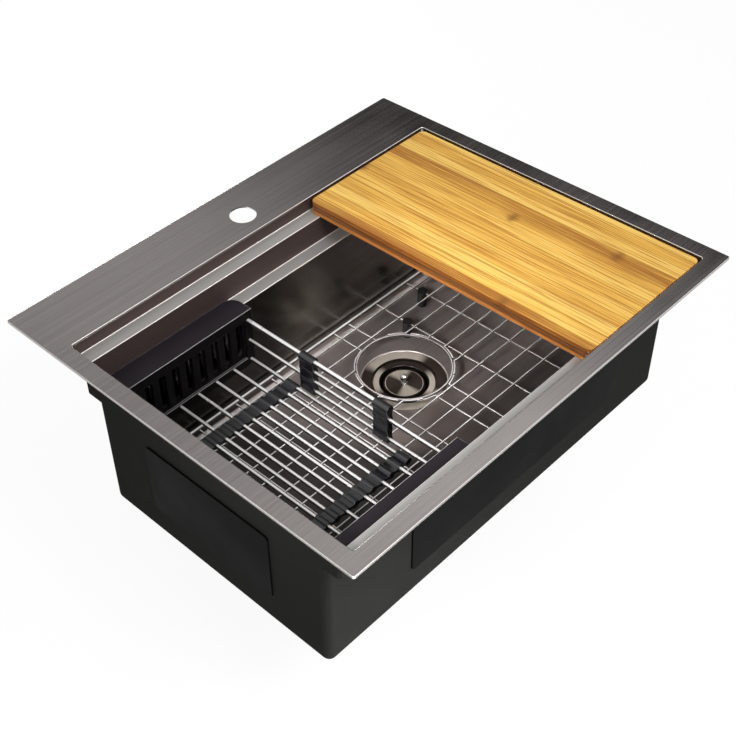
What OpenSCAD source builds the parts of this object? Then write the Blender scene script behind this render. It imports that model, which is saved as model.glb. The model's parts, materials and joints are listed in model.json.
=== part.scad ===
// Drop-in workstation kitchen sink with basket strainer, bottom grid,
// cutting board and retractable colander.
// Millimetres. The origin is the middle of the deck at worktop height:
// +X to the user's right, +Y to the wall, +Z up. The rim rests on z = 0.

/* [Deck] */
// Width of the deck, left to right
deck_w = 660; // [600:5:800]
// Depth of the deck, front to back
deck_d = 559; // [520:1:600]
// Height of the deck above the worktop
rim_h = 4; // [3:0.5:6]
// Width of the folded hem that rests on the worktop
hem_w = 12; // [6:1:18]
// Corner radius of the deck
deck_r = 3; // [1:0.5:12]
// Deck left of the opening, and right of it
side_rim = 23.5; // [20:0.5:30]
// Deck in front of the opening
front_rim = 22.5; // [20:0.5:30]
// Deck behind the opening, which carries the tap
back_rim = 93; // [80:1:110]
// Thickness of the steel sheet
sheet_t = 1.5; // [1:0.1:2]
// Corner radius of the opening and the ledges
opening_r = 3; // [1:0.5:8]
// Diameter of the tap hole
tap_hole_d = 35; // [28:1:38]
// From the back edge of the deck to the middle of the tap hole
tap_hole_back = 56.5; // [40:0.5:70]

/* [Bowl] */
// From the deck down to the bowl floor
bowl_depth = 225; // [200:1:260]
// From the deck down to the upper ledge
upper_drop = 20; // [16:0.5:26]
// Width of the upper ledge
upper_ledge = 20.5; // [14:0.5:24]
// From the upper ledge down to the lower ledge
lower_drop = 37.5; // [30:0.5:45]
// Width of the lower ledge
lower_ledge = 19.5; // [14:0.5:24]
// Inside corner radius of the bowl
bowl_r = 8; // [4:1:15]
// Thickness of the sprayed undercoat
coat_t = 0.7; // [0.4:0.1:1.5]
// Gap between the worktop face and the top of the undercoat
coat_start = 3; // [1:1:10]

/* [Sound pads] */
// Thickness of a sound pad
pad_t = 2.5; // [1.5:0.5:4]
// Corner radius of a sound pad
pad_r = 6; // [2:1:15]
// Length of a pad on an end wall
end_pad_l = 200; // [120:5:260]
// Height of a pad on an end wall
end_pad_h = 102; // [60:2:130]
// Length of a pad on the front or the back wall
long_pad_l = 390; // [250:5:420]
// Height of a pad on the front or the back wall
long_pad_h = 110; // [60:2:130]
// How far the front pad sits right of the middle
long_pad_x = 19.5; // [-40:0.5:40]
// Height of the pads' middle over the bowl floor
pad_mid_h = 97; // [80:1:120]
// Width of a pad under the floor
floor_pad_w = 110; // [60:5:120]
// Length of a pad under the floor
floor_pad_l = 260; // [120:5:300]
// Gap between the strainer nut and a pad under the floor
floor_pad_gap = 25; // [10:1:60]

/* [Drain] */
// Drain centre right of the middle of the deck
drain_x = 88.5; // [0:0.5:110]
// Drain centre behind the middle of the deck
drain_y = 23; // [-20:1:30]
// Diameter of the drain hole
drain_hole_d = 90; // [88:0.5:92]
// Diameter of the pressed seat round the drain
seat_d = 118; // [116:1:130]
// Depth of the pressed seat
seat_drop = 2; // [1:0.5:4]

/* [Strainer] */
// Diameter of the strainer flange
flange_d = 114.3; // [108:0.1:116]
// Thickness of the strainer flange
flange_t = 1.6; // [1:0.1:2.5]
// Thickness of the seal under the flange
seal_t = 0.6; // [0.4:0.1:1.5]
// Width of the flange's flat outer band
flange_band = 3; // [2:0.5:10]
// Depth of the basket seat under the flange
basket_seat = 3.2; // [2:0.2:6]
// Wall of the strainer where it passes the drain hole
neck_wall = 1; // [0.8:0.1:1.2]
// Inner diameter of the strainer cup
cup_d = 79; // [76:1:80]
// Wall thickness of the strainer
cup_wall = 1.5; // [1:0.1:2]
// Depth of the straight part of the cup
cup_depth = 30; // [28:1:40]
// Height of the cup's conical bottom
cup_cone = 9; // [6:1:14]
// Bore of the outlet
outlet_d = 37; // [34:1:38]
// Outer diameter of the outlet thread
thread_d = 48; // [46:1:50]
// Depth of the outlet's end under the flange
outlet_depth = 75; // [65:1:90]
// Thickness of the rubber gasket
gasket_t = 3; // [2:0.5:5]
// Outer diameter of the rubber gasket
gasket_d = 112; // [104:1:115]
// Thickness of the friction ring
friction_t = 1; // [0.5:0.1:2]
// Outer diameter of the locknut
locknut_d = 106; // [98:1:112]
// Height of the locknut
locknut_h = 10; // [8:1:14]
// Number of notches in the locknut
locknut_notches = 8; // [6:1:12]
// Width of a notch
notch_w = 10; // [6:1:14]
// Depth of a notch
notch_d = 5; // [3:0.5:8]

/* [Tailpiece] */
// Outer diameter of the tailpiece
tail_d = 38.1; // [32:0.1:40]
// Wall thickness of the tailpiece
tail_wall = 1.2; // [0.8:0.1:2]
// Length of the tailpiece
tail_l = 95; // [60:5:300]
// Thickness of the tailpiece flange
tail_flange_t = 2; // [1:0.5:3]
// Extra radius of the tailpiece's shoulder inside the nut
tail_shoulder = 0.4; // [0.2:0.1:1]
// Length of the shoulder under the nut
shoulder_over = 2; // [1:0.5:5]
// Thickness of the tailpiece washer
washer_t = 1.5; // [1:0.5:3]
// Size of the coupling nut over its corners
nut_d = 64; // [60:1:72]
// Height of the coupling nut over the washer
nut_grip = 15; // [10:1:20]
// Thickness of the coupling nut's bottom lip
nut_lip = 3; // [2:0.5:5]

/* [Basket] */
// Diameter of the basket rim
basket_d = 84; // [80:0.5:84]
// Thickness of the basket's sheet
basket_t = 1; // [0.6:0.1:1.4]
// Inner diameter of the basket wall
basket_in_d = 65; // [60:1:68]
// Depth of the basket's groove under its rim
groove_depth = 17; // [14:1:20]
// Diameter of the raised disc in the basket
disc_d = 57; // [50:1:58]
// Depth of the disc under the rim
disc_depth = 1; // [0.5:0.5:12]
// Number of holes round the basket
basket_holes = 24; // [12:2:30]
// Diameter of a hole in the basket
basket_hole_d = 3; // [2:0.5:4]
// Diameter of the knob's ball
ball_d = 11; // [8:0.5:14]
// Diameter of the stem
stem_d = 5; // [4:0.5:6]
// Height of the ball's middle over the bowl floor
ball_h = 4.5; // [3:0.5:8]
// Diameter of the stopper
stopper_d = 52; // [44:1:56]
// Height of the stopper's straight rim
stopper_rim = 4; // [2:0.5:6]

/* [Bottom grid] */
// Gap between the grid and the bowl walls
grid_gap = 3.5; // [2:0.5:8]
// Diameter of the frame wire
frame_wire = 5; // [4:0.5:6]
// Corner radius of the frame
frame_r = 18; // [12:1:30]
// Diameter of the inner wires
wire_d = 2.6; // [2:0.1:3.2]
// Height of the frame wire's middle over the bowl floor
grid_h = 24; // [18:1:30]
// Distance between neighbouring wires along the sink
wire_pitch_x = 28.6; // [22:0.2:36]
// Distance from the drain to the second wire across the sink
wire_second_y = 71.5; // [66:0.5:76]
// Least distance from the last wire across the sink to the frame
end_room = 30; // [20:1:40]
// Distance between the outer wires across the sink
wire_pitch_y = 64.5; // [55:0.5:64.5]
// Diameter of the ring round the drain
ring_d = 128; // [120:1:130]
// Diameter of the ring's wire
ring_wire = 3.6; // [3:0.1:4.5]
// Angle that a bent wire end follows the ring
bend_angle = 22; // [12:1:26]
// Diameter of a foot at the floor
foot_d = 13; // [10:1:16]
// Diameter of a foot at the wire
foot_top_d = 15; // [12:1:18]
// Rubber of a foot over its wire
foot_over = 2; // [1:0.5:4]

/* [Cutting board] */
// Width of the board
board_w = 221.5; // [150:0.5:300]
// Thickness of the board
board_t = 19; // [15:0.5:19]
// Corner radius of the board
board_r = 8; // [4:1:14]
// Chamfer of the board's upper and lower edges
board_edge = 1.6; // [0.5:0.1:3]
// Gap between the board and the front of the opening
board_front_gap = 1.5; // [1:0.5:4]
// Gap between the board and the back of the opening
board_back_gap = 4; // [1:0.5:8]
// Gap between the board and the right wall, as it lies
board_right_gap = 4; // [1:0.5:20]

/* [Colander] */
// Width of the colander
colander_w = 208; // [190:1:230]
// Gap between the colander and the left wall, as it lies
colander_left_gap = 19; // [2:1:100]
// Gap between a colander flange and the wall behind it
flange_gap = 1; // [0.5:0.5:3]
// Width of a flange
flange_w = 35.5; // [30:0.5:40]
// Thickness of a flange
rail_t = 4; // [3:0.5:6]
// Corner radius of a flange
flange_r = 17; // [8:1:20]
// Thickness of an end wall
wall_t = 9; // [7:0.5:11]
// Depth of the panel recessed into an end wall
panel_drop = 3; // [1:0.5:4]
// Height of an end wall under its flange
wall_h = 84.5; // [75:0.5:95]
// Lower corner radius of an end wall
wall_r = 12; // [6:1:18]
// Number of slots in an end wall
slot_count = 9; // [5:1:11]
// Width of a slot
slot_w = 10; // [6:1:12]
// Distance between slots
slot_pitch = 21; // [14:1:22]
// Diameter of a rod
rod_d = 5; // [4:0.5:6]
// Diameter of a top rod
top_rod_d = 6.5; // [6:0.5:8]
// Distance between neighbouring floor rods
rod_pitch = 15; // [13:0.5:16]
// Distance from the side rods to the end wall's edge
rod_inset = 6.5; // [6:0.5:9]
// Depth of the top rods under the flange's underside
top_rod_drop = 13; // [10:0.5:20]
// Height of the floor rods over the end wall's lower edge
floor_rod_h = 8; // [6:0.5:10]
// Depth of a rod's socket
socket_l = 8; // [5:1:8]
// From an end wall to the middle of its floor slider
floor_slider_at = 257; // [240:1:270]
// From an end wall to the middle of its side sliders
side_slider_at = 225; // [200:1:232]
// Length of a floor slider along the rods
floor_slider_l = 19; // [12:1:24]
// Length of a side slider along the rods
side_slider_l = 23; // [12:1:26]
// Thickness of the web between the sleeves of a floor slider
web_t = 5; // [3:0.5:7]
// Thickness of the plate between the sleeves of a side slider
side_web_t = 8.5; // [4:0.5:9]
// Wall of a slider's sleeve
sleeve_wall = 2.8; // [2:0.1:3]
// Closed end of a slider's socket
cap_t = 2; // [1:0.5:3]

/* [Fits] */
// Radial clearance of a rod that slides in a sleeve
slide_fit = 0.35; // [0.2:0.05:0.5]
// Radial clearance of a rod that is fixed in its socket
socket_fit = 0.05; // [0.02:0.01:0.1]
// Radial clearance of the stem in the basket
stem_fit = 0.3; // [0.2:0.05:0.5]
// Radial clearance of threads, washers and rings
ring_fit = 0.2; // [0.1:0.05:0.5]
// Gap between the closed stopper and the cup's cone
stopper_fit = 0.4; // [0.3:0.1:0.8]
// How deep crossing wires melt into each other
weld = 0.3; // [0.1:0.1:0.6]
// How much wider a wire is where it turns along the ring
bend_swell = 0.2; // [0.1:0.05:0.4]

/* [Hidden] */
$fn = 48;
eps = 0.01;

// Heights of the deck, the ledges and the floor
deck_z = rim_h;
upper_z = deck_z - upper_drop;
lower_z = upper_z - lower_drop;
floor_z = deck_z - bowl_depth;

// Half width of the opening, and its front and back walls at each level
open_x = deck_w / 2 - side_rim;
open_front = front_rim - deck_d / 2;
open_back = deck_d / 2 - back_rim;
mid_front = open_front + upper_ledge;
mid_back = open_back - upper_ledge;
bowl_front = mid_front + lower_ledge;
bowl_back = mid_back - lower_ledge;
tap_y = deck_d / 2 - tap_hole_back;

// Outer faces of the undercoat
skin = sheet_t + coat_t;
coat_x = open_x + skin;
coat_front = bowl_front - skin;
coat_back = bowl_back + skin;
coat_bottom = floor_z - skin;
pad_z = floor_z + pad_mid_h;

// Strainer heights, down from the flange's underside
seat_z = floor_z - seat_drop;
flange_z = seat_z + seal_t;
basket_z = flange_z - basket_seat;
under_floor_z = seat_z - sheet_t;
collar_d = drain_hole_d - 2 * ring_fit;
neck_r = collar_d / 2 - neck_wall;
seat_bore_d = basket_d + 4 * ring_fit;
collar_z = under_floor_z - gasket_t;
cone_z = flange_z - cup_depth;
outlet_top_z = cone_z - cup_cone;
outlet_z = flange_z - outlet_depth;
cup_outer_d = cup_d + 2 * cup_wall;
tail_top_z = outlet_z - washer_t;
tail_flange_d = thread_d - 4;
shoulder_z = tail_top_z - tail_flange_t - nut_lip - shoulder_over;
tail_end_z = tail_top_z - tail_l;
groove_z = basket_z - groove_depth;
disc_z = basket_z - disc_depth;
ball_z = floor_z + ball_h;
// Height of the cup's cone at a radius
function cone_at(r) = cone_z - cup_cone * (cup_d / 2 - r) / (cup_d / 2 - outlet_d / 2);
stopper_r = stopper_d / 2;
stopper_low_r = stopper_r - stopper_rim;
stopper_edge_z = cone_at(stopper_r) + stopper_fit;
stopper_bottom_z = cone_at(stopper_low_r) + stopper_fit;

// Bottom grid
grid_z = floor_z + grid_h;
grid_x = open_x - grid_gap - frame_wire / 2;
grid_front = bowl_front + grid_gap + frame_wire / 2;
grid_back = bowl_back - grid_gap - frame_wire / 2;
wire_step = (wire_d - weld) / 2;
wire_y_z = grid_z - wire_step;
wire_x_z = grid_z + wire_step;
ring_z = grid_z;
// Wire ends stop just inside the frame wire's surface
wire_end_in = sqrt(frame_wire * frame_wire / 4 - wire_step * wire_step) - weld;
bend_r = ring_d / 2 + ring_wire / 2 + wire_d / 2 - weld;
// Rows of wires on each side of the drain, as many as the frame has room for
rows_front = floor((drain_y - grid_front) / wire_pitch_x);
rows_back = floor((grid_back - drain_y) / wire_pitch_x);
wires_x = [for (k = [-rows_front : rows_back - 1]) drain_y + (k + 0.5) * wire_pitch_x];
outer_left = floor((grid_x + drain_x - wire_second_y - end_room) / wire_pitch_y);
outer_right = floor((grid_x - drain_x - wire_second_y - end_room) / wire_pitch_y);
wires_y_left = [for (k = [1 : 1 : outer_left]) drain_x - wire_second_y - k * wire_pitch_y];
wires_y_right = [for (k = [1 : 1 : outer_right]) drain_x + wire_second_y + k * wire_pitch_y];
wires_y_mid = [for (d = [-wire_second_y, -wire_pitch_x / 2, wire_pitch_x / 2, wire_second_y]) drain_x + d];
wires_y = concat(wires_y_left, wires_y_mid, wires_y_right);
// Feet grip the outermost wires near the corners, and one wire beside the ring
foot_xs = [
    drain_x - wire_second_y - outer_left * wire_pitch_y,
    drain_x + wire_second_y + outer_right * wire_pitch_y
];
foot_ys = [drain_y - (rows_front - 1) * wire_pitch_x, drain_y + (rows_back - 1) * wire_pitch_x];
mid_foot = [drain_x + wire_second_y, drain_y + 2 * wire_pitch_x];

// Cutting board
board_front = open_front + board_front_gap;
board_back = open_back - board_back_gap;
board_x = open_x - board_right_gap - board_w / 2;
ply_t = board_t / 3;

// Colander. The front half is the back half turned half a turn about its middle.
colander_x = -open_x + colander_left_gap + colander_w / 2;
back_flange_y = mid_back - flange_gap;
front_flange_y = mid_front + flange_gap;
colander_y = (back_flange_y + front_flange_y) / 2;
half_l = (back_flange_y - front_flange_y) / 2;
wall_y = half_l - flange_w;
side_rod_x = colander_w / 2 - rod_inset;
top_rod_z = lower_z - top_rod_drop;
wall_z = lower_z - wall_h;
floor_rod_z = wall_z + floor_rod_h;
side_pitch = (top_rod_z - floor_rod_z) / 4;
rod_r = rod_d / 2;
top_rod_r = top_rod_d / 2;
floor_slider_y = wall_y - floor_slider_at;
side_slider_y = wall_y - side_slider_at;
floor_count = 2 * floor((2 * side_rod_x / rod_pitch + 1) / 2);
floor_pitch = 2 * side_rod_x / (floor_count - 1);
// Rods that belong to a half: every second one, counted down the right side,
// along the floor and up the left side
floor_x = [for (k = [0 : floor_count - 1]) side_rod_x - k * floor_pitch];
own_floor = [for (k = [0 : 2 : floor_count - 1]) floor_x[k]];
other_floor = [for (k = [1 : 2 : floor_count - 1]) floor_x[k]];
function side_z(k) = top_rod_z - k * side_pitch;

// ---- Shared shapes ----

// Rectangle with round corners, centred
module round_rect(w, d, r) {
    square([w - 2 * r, d], center = true);
    square([w, d - 2 * r], center = true);
    for (sx = [-1, 1], sy = [-1, 1])
        translate([sx * (w / 2 - r), sy * (d / 2 - r)])
            circle(r);
}

// Upright block with round vertical edges, between two corners
module round_block(low, high, r) {
    translate([(low[0] + high[0]) / 2, (low[1] + high[1]) / 2, low[2]])
        linear_extrude(high[2] - low[2])
            round_rect(high[0] - low[0], high[1] - low[1], r);
}

// The same block with its lower edges rounded as well
module basin_block(low, high, r) {
    round_block([low[0], low[1], low[2] + r], high, r);
    translate([low[0] + r, low[1] + r, low[2]])
        cube([high[0] - low[0] - 2 * r, high[1] - low[1] - 2 * r, 2 * r]);
    for (y = [low[1] + r, high[1] - r])
        translate([low[0] + r, y, low[2] + r])
            rotate([0, 90, 0])
                cylinder(h = high[0] - low[0] - 2 * r, r = r);
    for (x = [low[0] + r, high[0] - r])
        translate([x, low[1] + r, low[2] + r])
            rotate([-90, 0, 0])
                cylinder(h = high[1] - low[1] - 2 * r, r = r);
    for (x = [low[0] + r, high[0] - r], y = [low[1] + r, high[1] - r])
        translate([x, y, low[2] + r])
            sphere(r = r);
}

// The space over the two ledges, grown outwards on every side by g
module ledge_space(g, top) {
    round_block([-open_x - g, open_front - g, upper_z - g],
                [open_x + g, open_back + g, top], opening_r + g);
    round_block([-open_x - g, mid_front - g, lower_z - g],
                [open_x + g, mid_back + g, upper_z], opening_r + g);
}

// The space of the bowl under the lower ledges, grown in the same way
module pan_space(g, top) {
    basin_block([-open_x - g, bowl_front - g, floor_z - g],
                [open_x + g, bowl_back + g, top], bowl_r + g);
}

// A round part on the drain's axis, from its outline in [radius, z] points
module on_drain(points) {
    translate([drain_x, drain_y, 0])
        rotate_extrude()
            polygon(points);
}

module drain_ring(outer_d, inner_d, low, high) {
    translate([drain_x, drain_y, low])
        difference() {
            cylinder(h = high - low, d = outer_d);
            translate([0, 0, -1])
                cylinder(h = high - low + 2, d = inner_d);
        }
}

// ---- Sink ----

// The deck with its hem, before the opening: the hem is folded under the edge
module deck_sheet() {
    round_block([-deck_w / 2, -deck_d / 2, deck_z - sheet_t],
                [deck_w / 2, deck_d / 2, deck_z], deck_r);
    difference() {
        round_block([-deck_w / 2, -deck_d / 2, 0],
                    [deck_w / 2, deck_d / 2, deck_z - sheet_t], deck_r);
        round_block([hem_w - deck_w / 2, hem_w - deck_d / 2, -1],
                    [deck_w / 2 - hem_w, deck_d / 2 - hem_w, deck_z], deck_r);
    }
}

// Rear strip of the deck, welded to the rim at the ends of the opening
module tap_deck() {
    color([0.33, 0.31, 0.31])
    difference() {
        deck_sheet();
        translate([-deck_w, open_back - deck_d, -1])
            cube([2 * deck_w, deck_d, deck_z + 2]);
        translate([0, tap_y, -1])
            cylinder(h = deck_z + 2, d = tap_hole_d);
    }
}

module rim() {
    color([0.33, 0.31, 0.31])
    difference() {
        deck_sheet();
        translate([-deck_w, open_back, -1])
            cube([2 * deck_w, deck_d, deck_z + 2]);
        ledge_space(0, deck_z + 1);
    }
}

// Walls and ledges between the deck and the bowl
module ledge_frame() {
    color([0.36, 0.34, 0.34])
    difference() {
        ledge_space(sheet_t, deck_z - sheet_t);
        ledge_space(0, deck_z);
        pan_space(0, lower_z + 1);
    }
}

module bowl_pan() {
    color([0.33, 0.31, 0.31])
    difference() {
        union() {
            pan_space(sheet_t, lower_z - sheet_t);
            translate([drain_x, drain_y, seat_z - sheet_t])
                cylinder(h = seat_drop + sheet_t, d = seat_d + 2 * sheet_t);
        }
        pan_space(0, lower_z + 1);
        translate([drain_x, drain_y, seat_z])
            cylinder(h = seat_drop + 1, d = seat_d);
        translate([drain_x, drain_y, seat_z - sheet_t - 1])
            cylinder(h = sheet_t + 2, d = drain_hole_d);
    }
}

module undercoat() {
    color([0.13, 0.13, 0.12])
    difference() {
        union() {
            ledge_space(skin, -coat_start);
            pan_space(skin, lower_z - sheet_t);
        }
        ledge_space(sheet_t, deck_z);
        pan_space(sheet_t, lower_z);
        translate([drain_x, drain_y, coat_bottom - 1])
            cylinder(h = skin + 2, d = seat_d + 2 * skin);
    }
}

// A pad lying in the XY plane with its back at z = 0
module pad_shape(l, h) {
    color([0.08, 0.08, 0.08])
        linear_extrude(pad_t)
            round_rect(l, h, pad_r);
}

module pad_left() {
    translate([-coat_x, (bowl_front + bowl_back) / 2, pad_z])
        rotate([90, 0, -90])
            pad_shape(end_pad_l, end_pad_h);
}

module pad_right() {
    translate([coat_x, (bowl_front + bowl_back) / 2, pad_z])
        rotate([90, 0, 90])
            pad_shape(end_pad_l, end_pad_h);
}

module pad_front() {
    translate([long_pad_x, coat_front, pad_z])
        rotate([90, 0, 0])
            pad_shape(long_pad_l, long_pad_h);
}

module pad_back() {
    translate([-long_pad_x, coat_back, pad_z])
        rotate([90, 0, 180])
            pad_shape(long_pad_l, long_pad_h);
}

module pad_bottom() {
    for (side = [-1, 1])
        translate([drain_x + side * (locknut_d / 2 + floor_pad_gap + floor_pad_w / 2),
                   (bowl_front + bowl_back) / 2, coat_bottom])
            mirror([0, 0, 1])
                pad_shape(floor_pad_w, floor_pad_l);
}

// ---- Basket strainer ----

// Pressed flange, basket seat and cup
module strainer_body() {
    color([0.62, 0.57, 0.53])
    on_drain([
        [flange_d / 2, flange_z],
        [flange_d / 2, flange_z + flange_t],
        [flange_d / 2 - flange_band, flange_z + flange_t],
        [neck_r, flange_z + flange_t / 4],
        [seat_bore_d / 2, basket_z + basket_t],
        [seat_bore_d / 2, basket_z],
        [cup_d / 2, basket_z],
        [cup_d / 2, cone_z],
        [outlet_d / 2, outlet_top_z],
        [thread_d / 2, outlet_top_z - cup_wall],
        [cup_outer_d / 2, cone_z - cup_wall],
        [cup_outer_d / 2, collar_z],
        [collar_d / 2, collar_z],
        [collar_d / 2, flange_z]
    ]);
}

// Threaded outlet, brazed under the cup
module strainer_outlet() {
    color([0.66, 0.6, 0.5])
    on_drain([
        [outlet_d / 2, outlet_top_z],
        [outlet_d / 2, outlet_z],
        [thread_d / 2, outlet_z],
        [thread_d / 2, outlet_top_z - cup_wall]
    ]);
}

module strainer_seal() {
    color([0.85, 0.85, 0.83])
        drain_ring(flange_d, drain_hole_d, seat_z, flange_z);
}

module strainer_gasket() {
    color([0.1, 0.1, 0.1])
        drain_ring(gasket_d, collar_d + 2 * ring_fit, collar_z, under_floor_z);
}

module strainer_friction_ring() {
    color([0.72, 0.6, 0.42])
        drain_ring(gasket_d, cup_outer_d + 2 * ring_fit, collar_z - friction_t, collar_z);
}

module strainer_locknut() {
    top = collar_z - friction_t;
    color([0.7, 0.66, 0.55])
    difference() {
        drain_ring(locknut_d, cup_outer_d + 2 * ring_fit, top - locknut_h, top);
        for (k = [0 : locknut_notches - 1])
            translate([drain_x, drain_y, top - locknut_h - 1])
                rotate([0, 0, k * 360 / locknut_notches])
                    translate([locknut_d / 2 - notch_d, -notch_w / 2, 0])
                        cube([notch_d + 1, notch_w, locknut_h + 2]);
    }
}

module tailpiece_washer() {
    color([0.9, 0.9, 0.88])
        drain_ring(tail_flange_d, outlet_d, tail_top_z, outlet_z);
}

module tailpiece() {
    color([0.75, 0.74, 0.72])
    on_drain([
        [tail_flange_d / 2, tail_top_z],
        [tail_flange_d / 2, tail_top_z - tail_flange_t],
        [tail_d / 2 + tail_shoulder, tail_top_z - tail_flange_t],
        [tail_d / 2 + tail_shoulder, shoulder_z],
        [tail_d / 2, shoulder_z],
        [tail_d / 2, tail_end_z],
        [tail_d / 2 - tail_wall, tail_end_z],
        [tail_d / 2 - tail_wall, tail_top_z]
    ]);
}

module tailpiece_nut() {
    lip_z = tail_top_z - tail_flange_t;
    color([0.72, 0.71, 0.69])
    translate([drain_x, drain_y, 0])
    difference() {
        translate([0, 0, lip_z - nut_lip])
            cylinder(h = outlet_z + nut_grip - lip_z + nut_lip, d = nut_d, $fn = 6);
        translate([0, 0, lip_z])
            cylinder(h = outlet_z + nut_grip - lip_z + 1, d = thread_d + 2 * ring_fit);
        translate([0, 0, lip_z - nut_lip - 1])
            cylinder(h = nut_lip + 2, r = tail_d / 2 + tail_shoulder + ring_fit);
    }
}

// ---- Lift-out basket ----

module basket_cup() {
    in_r = basket_in_d / 2;
    disc_r = disc_d / 2;
    hole_r = stem_d / 2 + stem_fit;
    color([0.6, 0.55, 0.51])
    difference() {
        on_drain([
            [basket_d / 2, basket_z],
            [basket_d / 2, basket_z + basket_t],
            [in_r + basket_t, basket_z + basket_t],
            [in_r, basket_z],
            [in_r, groove_z],
            [disc_r + basket_t, groove_z],
            [disc_r, disc_z],
            [hole_r, disc_z],
            [hole_r, disc_z - basket_t],
            [disc_r - basket_t, disc_z - basket_t],
            [disc_r, groove_z - basket_t],
            [in_r + basket_t, groove_z - basket_t],
            [in_r + basket_t, basket_z]
        ]);
        for (k = [0 : basket_holes - 1])
            translate([drain_x, drain_y, (groove_z + basket_z) / 2])
                rotate([0, 0, k * 360 / basket_holes])
                    for (dz = [-basket_hole_d, basket_hole_d])
                        translate([in_r - 1, 0, dz])
                            rotate([0, 90, 0])
                                cylinder(h = basket_t + 2, d = basket_hole_d);
    }
}

module knob_post() {
    color([0.75, 0.73, 0.71])
    translate([drain_x, drain_y, 0]) {
        translate([0, 0, ball_z])
            sphere(d = ball_d);
        translate([0, 0, stopper_bottom_z - 1])
            cylinder(h = ball_z - stopper_bottom_z + 1, d = stem_d);
        translate([0, 0, disc_z])
            cylinder(h = 1.5, d = stem_d + 4);
    }
}

module stopper() {
    bore_r = stem_d / 2 + socket_fit;
    top_z = stopper_edge_z + stopper_rim;
    color([0.12, 0.12, 0.12])
    on_drain([
        [bore_r, stopper_bottom_z],
        [stopper_low_r, stopper_bottom_z],
        [stopper_r, stopper_edge_z],
        [stopper_r, top_z],
        [bore_r, top_z]
    ]);
}

module stopper_screw() {
    color([0.7, 0.7, 0.7])
    translate([drain_x, drain_y, 0])
    difference() {
        union() {
            translate([0, 0, stopper_bottom_z - 1])
                cylinder(h = 1, d = 2.4 * stem_d);
            translate([0, 0, stopper_bottom_z - 3])
                cylinder(h = 2, d = 1.6 * stem_d);
        }
        translate([0, 0, stopper_bottom_z - 1])
            cylinder(h = 2, r = stem_d / 2 + socket_fit);
        translate([-stem_d, -0.5, stopper_bottom_z - 4])
            cube([2 * stem_d, 1, 2]);
    }
}

// ---- Bottom grid ----

// A straight wire between two points that lie along X or Y
module wire_x(x0, x1, y, z, d) {
    translate([x0, y, z])
        rotate([0, 90, 0])
            cylinder(h = x1 - x0, d = d);
}

module wire_y(x, y0, y1, z, d) {
    translate([x, y0, z])
        rotate([-90, 0, 0])
            cylinder(h = y1 - y0, d = d);
}

module grid_frame() {
    cx = grid_x - frame_r;
    cy0 = grid_front + frame_r;
    cy1 = grid_back - frame_r;
    color([0.8, 0.8, 0.8]) {
        for (y = [grid_front, grid_back])
            wire_x(-cx, cx, y, grid_z, frame_wire);
        for (x = [-grid_x, grid_x])
            wire_y(x, cy0, cy1, grid_z, frame_wire);
        for (corner = [[cx, cy1, 0], [-cx, cy1, 90], [-cx, cy0, 180], [cx, cy0, 270]])
            translate([corner[0], corner[1], grid_z])
                rotate([0, 0, corner[2]])
                    rotate_extrude(angle = 90)
                        translate([frame_r, 0])
                            circle(d = frame_wire);
    }
}

// A wire end that turns and follows the ring, from angle a towards a + turn.
// The bent corner is upset slightly wider than the wire.
module ring_bend(a, turn, z) {
    translate([drain_x, drain_y, z]) {
        rotate([0, 0, min(a, a + turn)])
            rotate_extrude(angle = abs(turn))
                translate([bend_r, 0])
                    circle(d = wire_d);
        rotate([0, 0, a])
            translate([bend_r, 0, 0])
                sphere(d = wire_d + bend_swell);
    }
}

module grid_wires_x() {
    reach = grid_x - wire_end_in;
    color([0.8, 0.8, 0.8])
    for (y = wires_x) {
        off = y - drain_y;
        if (abs(off) > bend_r - wire_d)
            wire_x(-reach, reach, y, wire_x_z, wire_d);
        else {
            half = sqrt(bend_r * bend_r - off * off);
            a = asin(off / bend_r);
            turn = off > 0 ? bend_angle : -bend_angle;
            wire_x(-reach, drain_x - half, y, wire_x_z, wire_d);
            wire_x(drain_x + half, reach, y, wire_x_z, wire_d);
            ring_bend(a, turn, wire_x_z);
            ring_bend(180 - a, -turn, wire_x_z);
        }
    }
}

module grid_wires_y() {
    front = grid_front + wire_end_in;
    back = grid_back - wire_end_in;
    color([0.8, 0.8, 0.8])
    for (x = wires_y) {
        off = x - drain_x;
        if (abs(off) > bend_r - wire_d)
            wire_y(x, front, back, wire_y_z, wire_d);
        else {
            half = sqrt(bend_r * bend_r - off * off);
            a = acos(off / bend_r);
            turn = off > 0 ? -bend_angle : bend_angle;
            wire_y(x, front, drain_y - half, wire_y_z, wire_d);
            wire_y(x, drain_y + half, back, wire_y_z, wire_d);
            ring_bend(a, turn, wire_y_z);
            ring_bend(-a, -turn, wire_y_z);
        }
    }
}

module grid_ring() {
    color([0.8, 0.8, 0.8])
    translate([drain_x, drain_y, ring_z])
        rotate_extrude()
            translate([ring_d / 2, 0])
                circle(d = ring_wire);
}

// A rubber foot that grips a wire along Y
module foot() {
    h = wire_y_z - floor_z;
    difference() {
        cylinder(h = h + wire_d / 2 + foot_over, d1 = foot_d, d2 = foot_top_d);
        translate([0, 0, h])
            rotate([90, 0, 0])
                cylinder(h = 2 * foot_top_d, r = wire_d / 2 + socket_fit, center = true);
    }
}

module grid_feet() {
    color([0.1, 0.1, 0.1]) {
        for (x = foot_xs, y = foot_ys)
            translate([x, y, floor_z])
                foot();
        translate([mid_foot[0], mid_foot[1], floor_z])
            foot();
    }
}

// ---- Cutting board ----

module ply(level) {
    translate([board_x, (board_front + board_back) / 2, upper_z + level * ply_t])
        children();
}

module ply_shape(t, shrink) {
    linear_extrude(t)
        round_rect(board_w - 2 * shrink, board_back - board_front - 2 * shrink, board_r - shrink);
}

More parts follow.
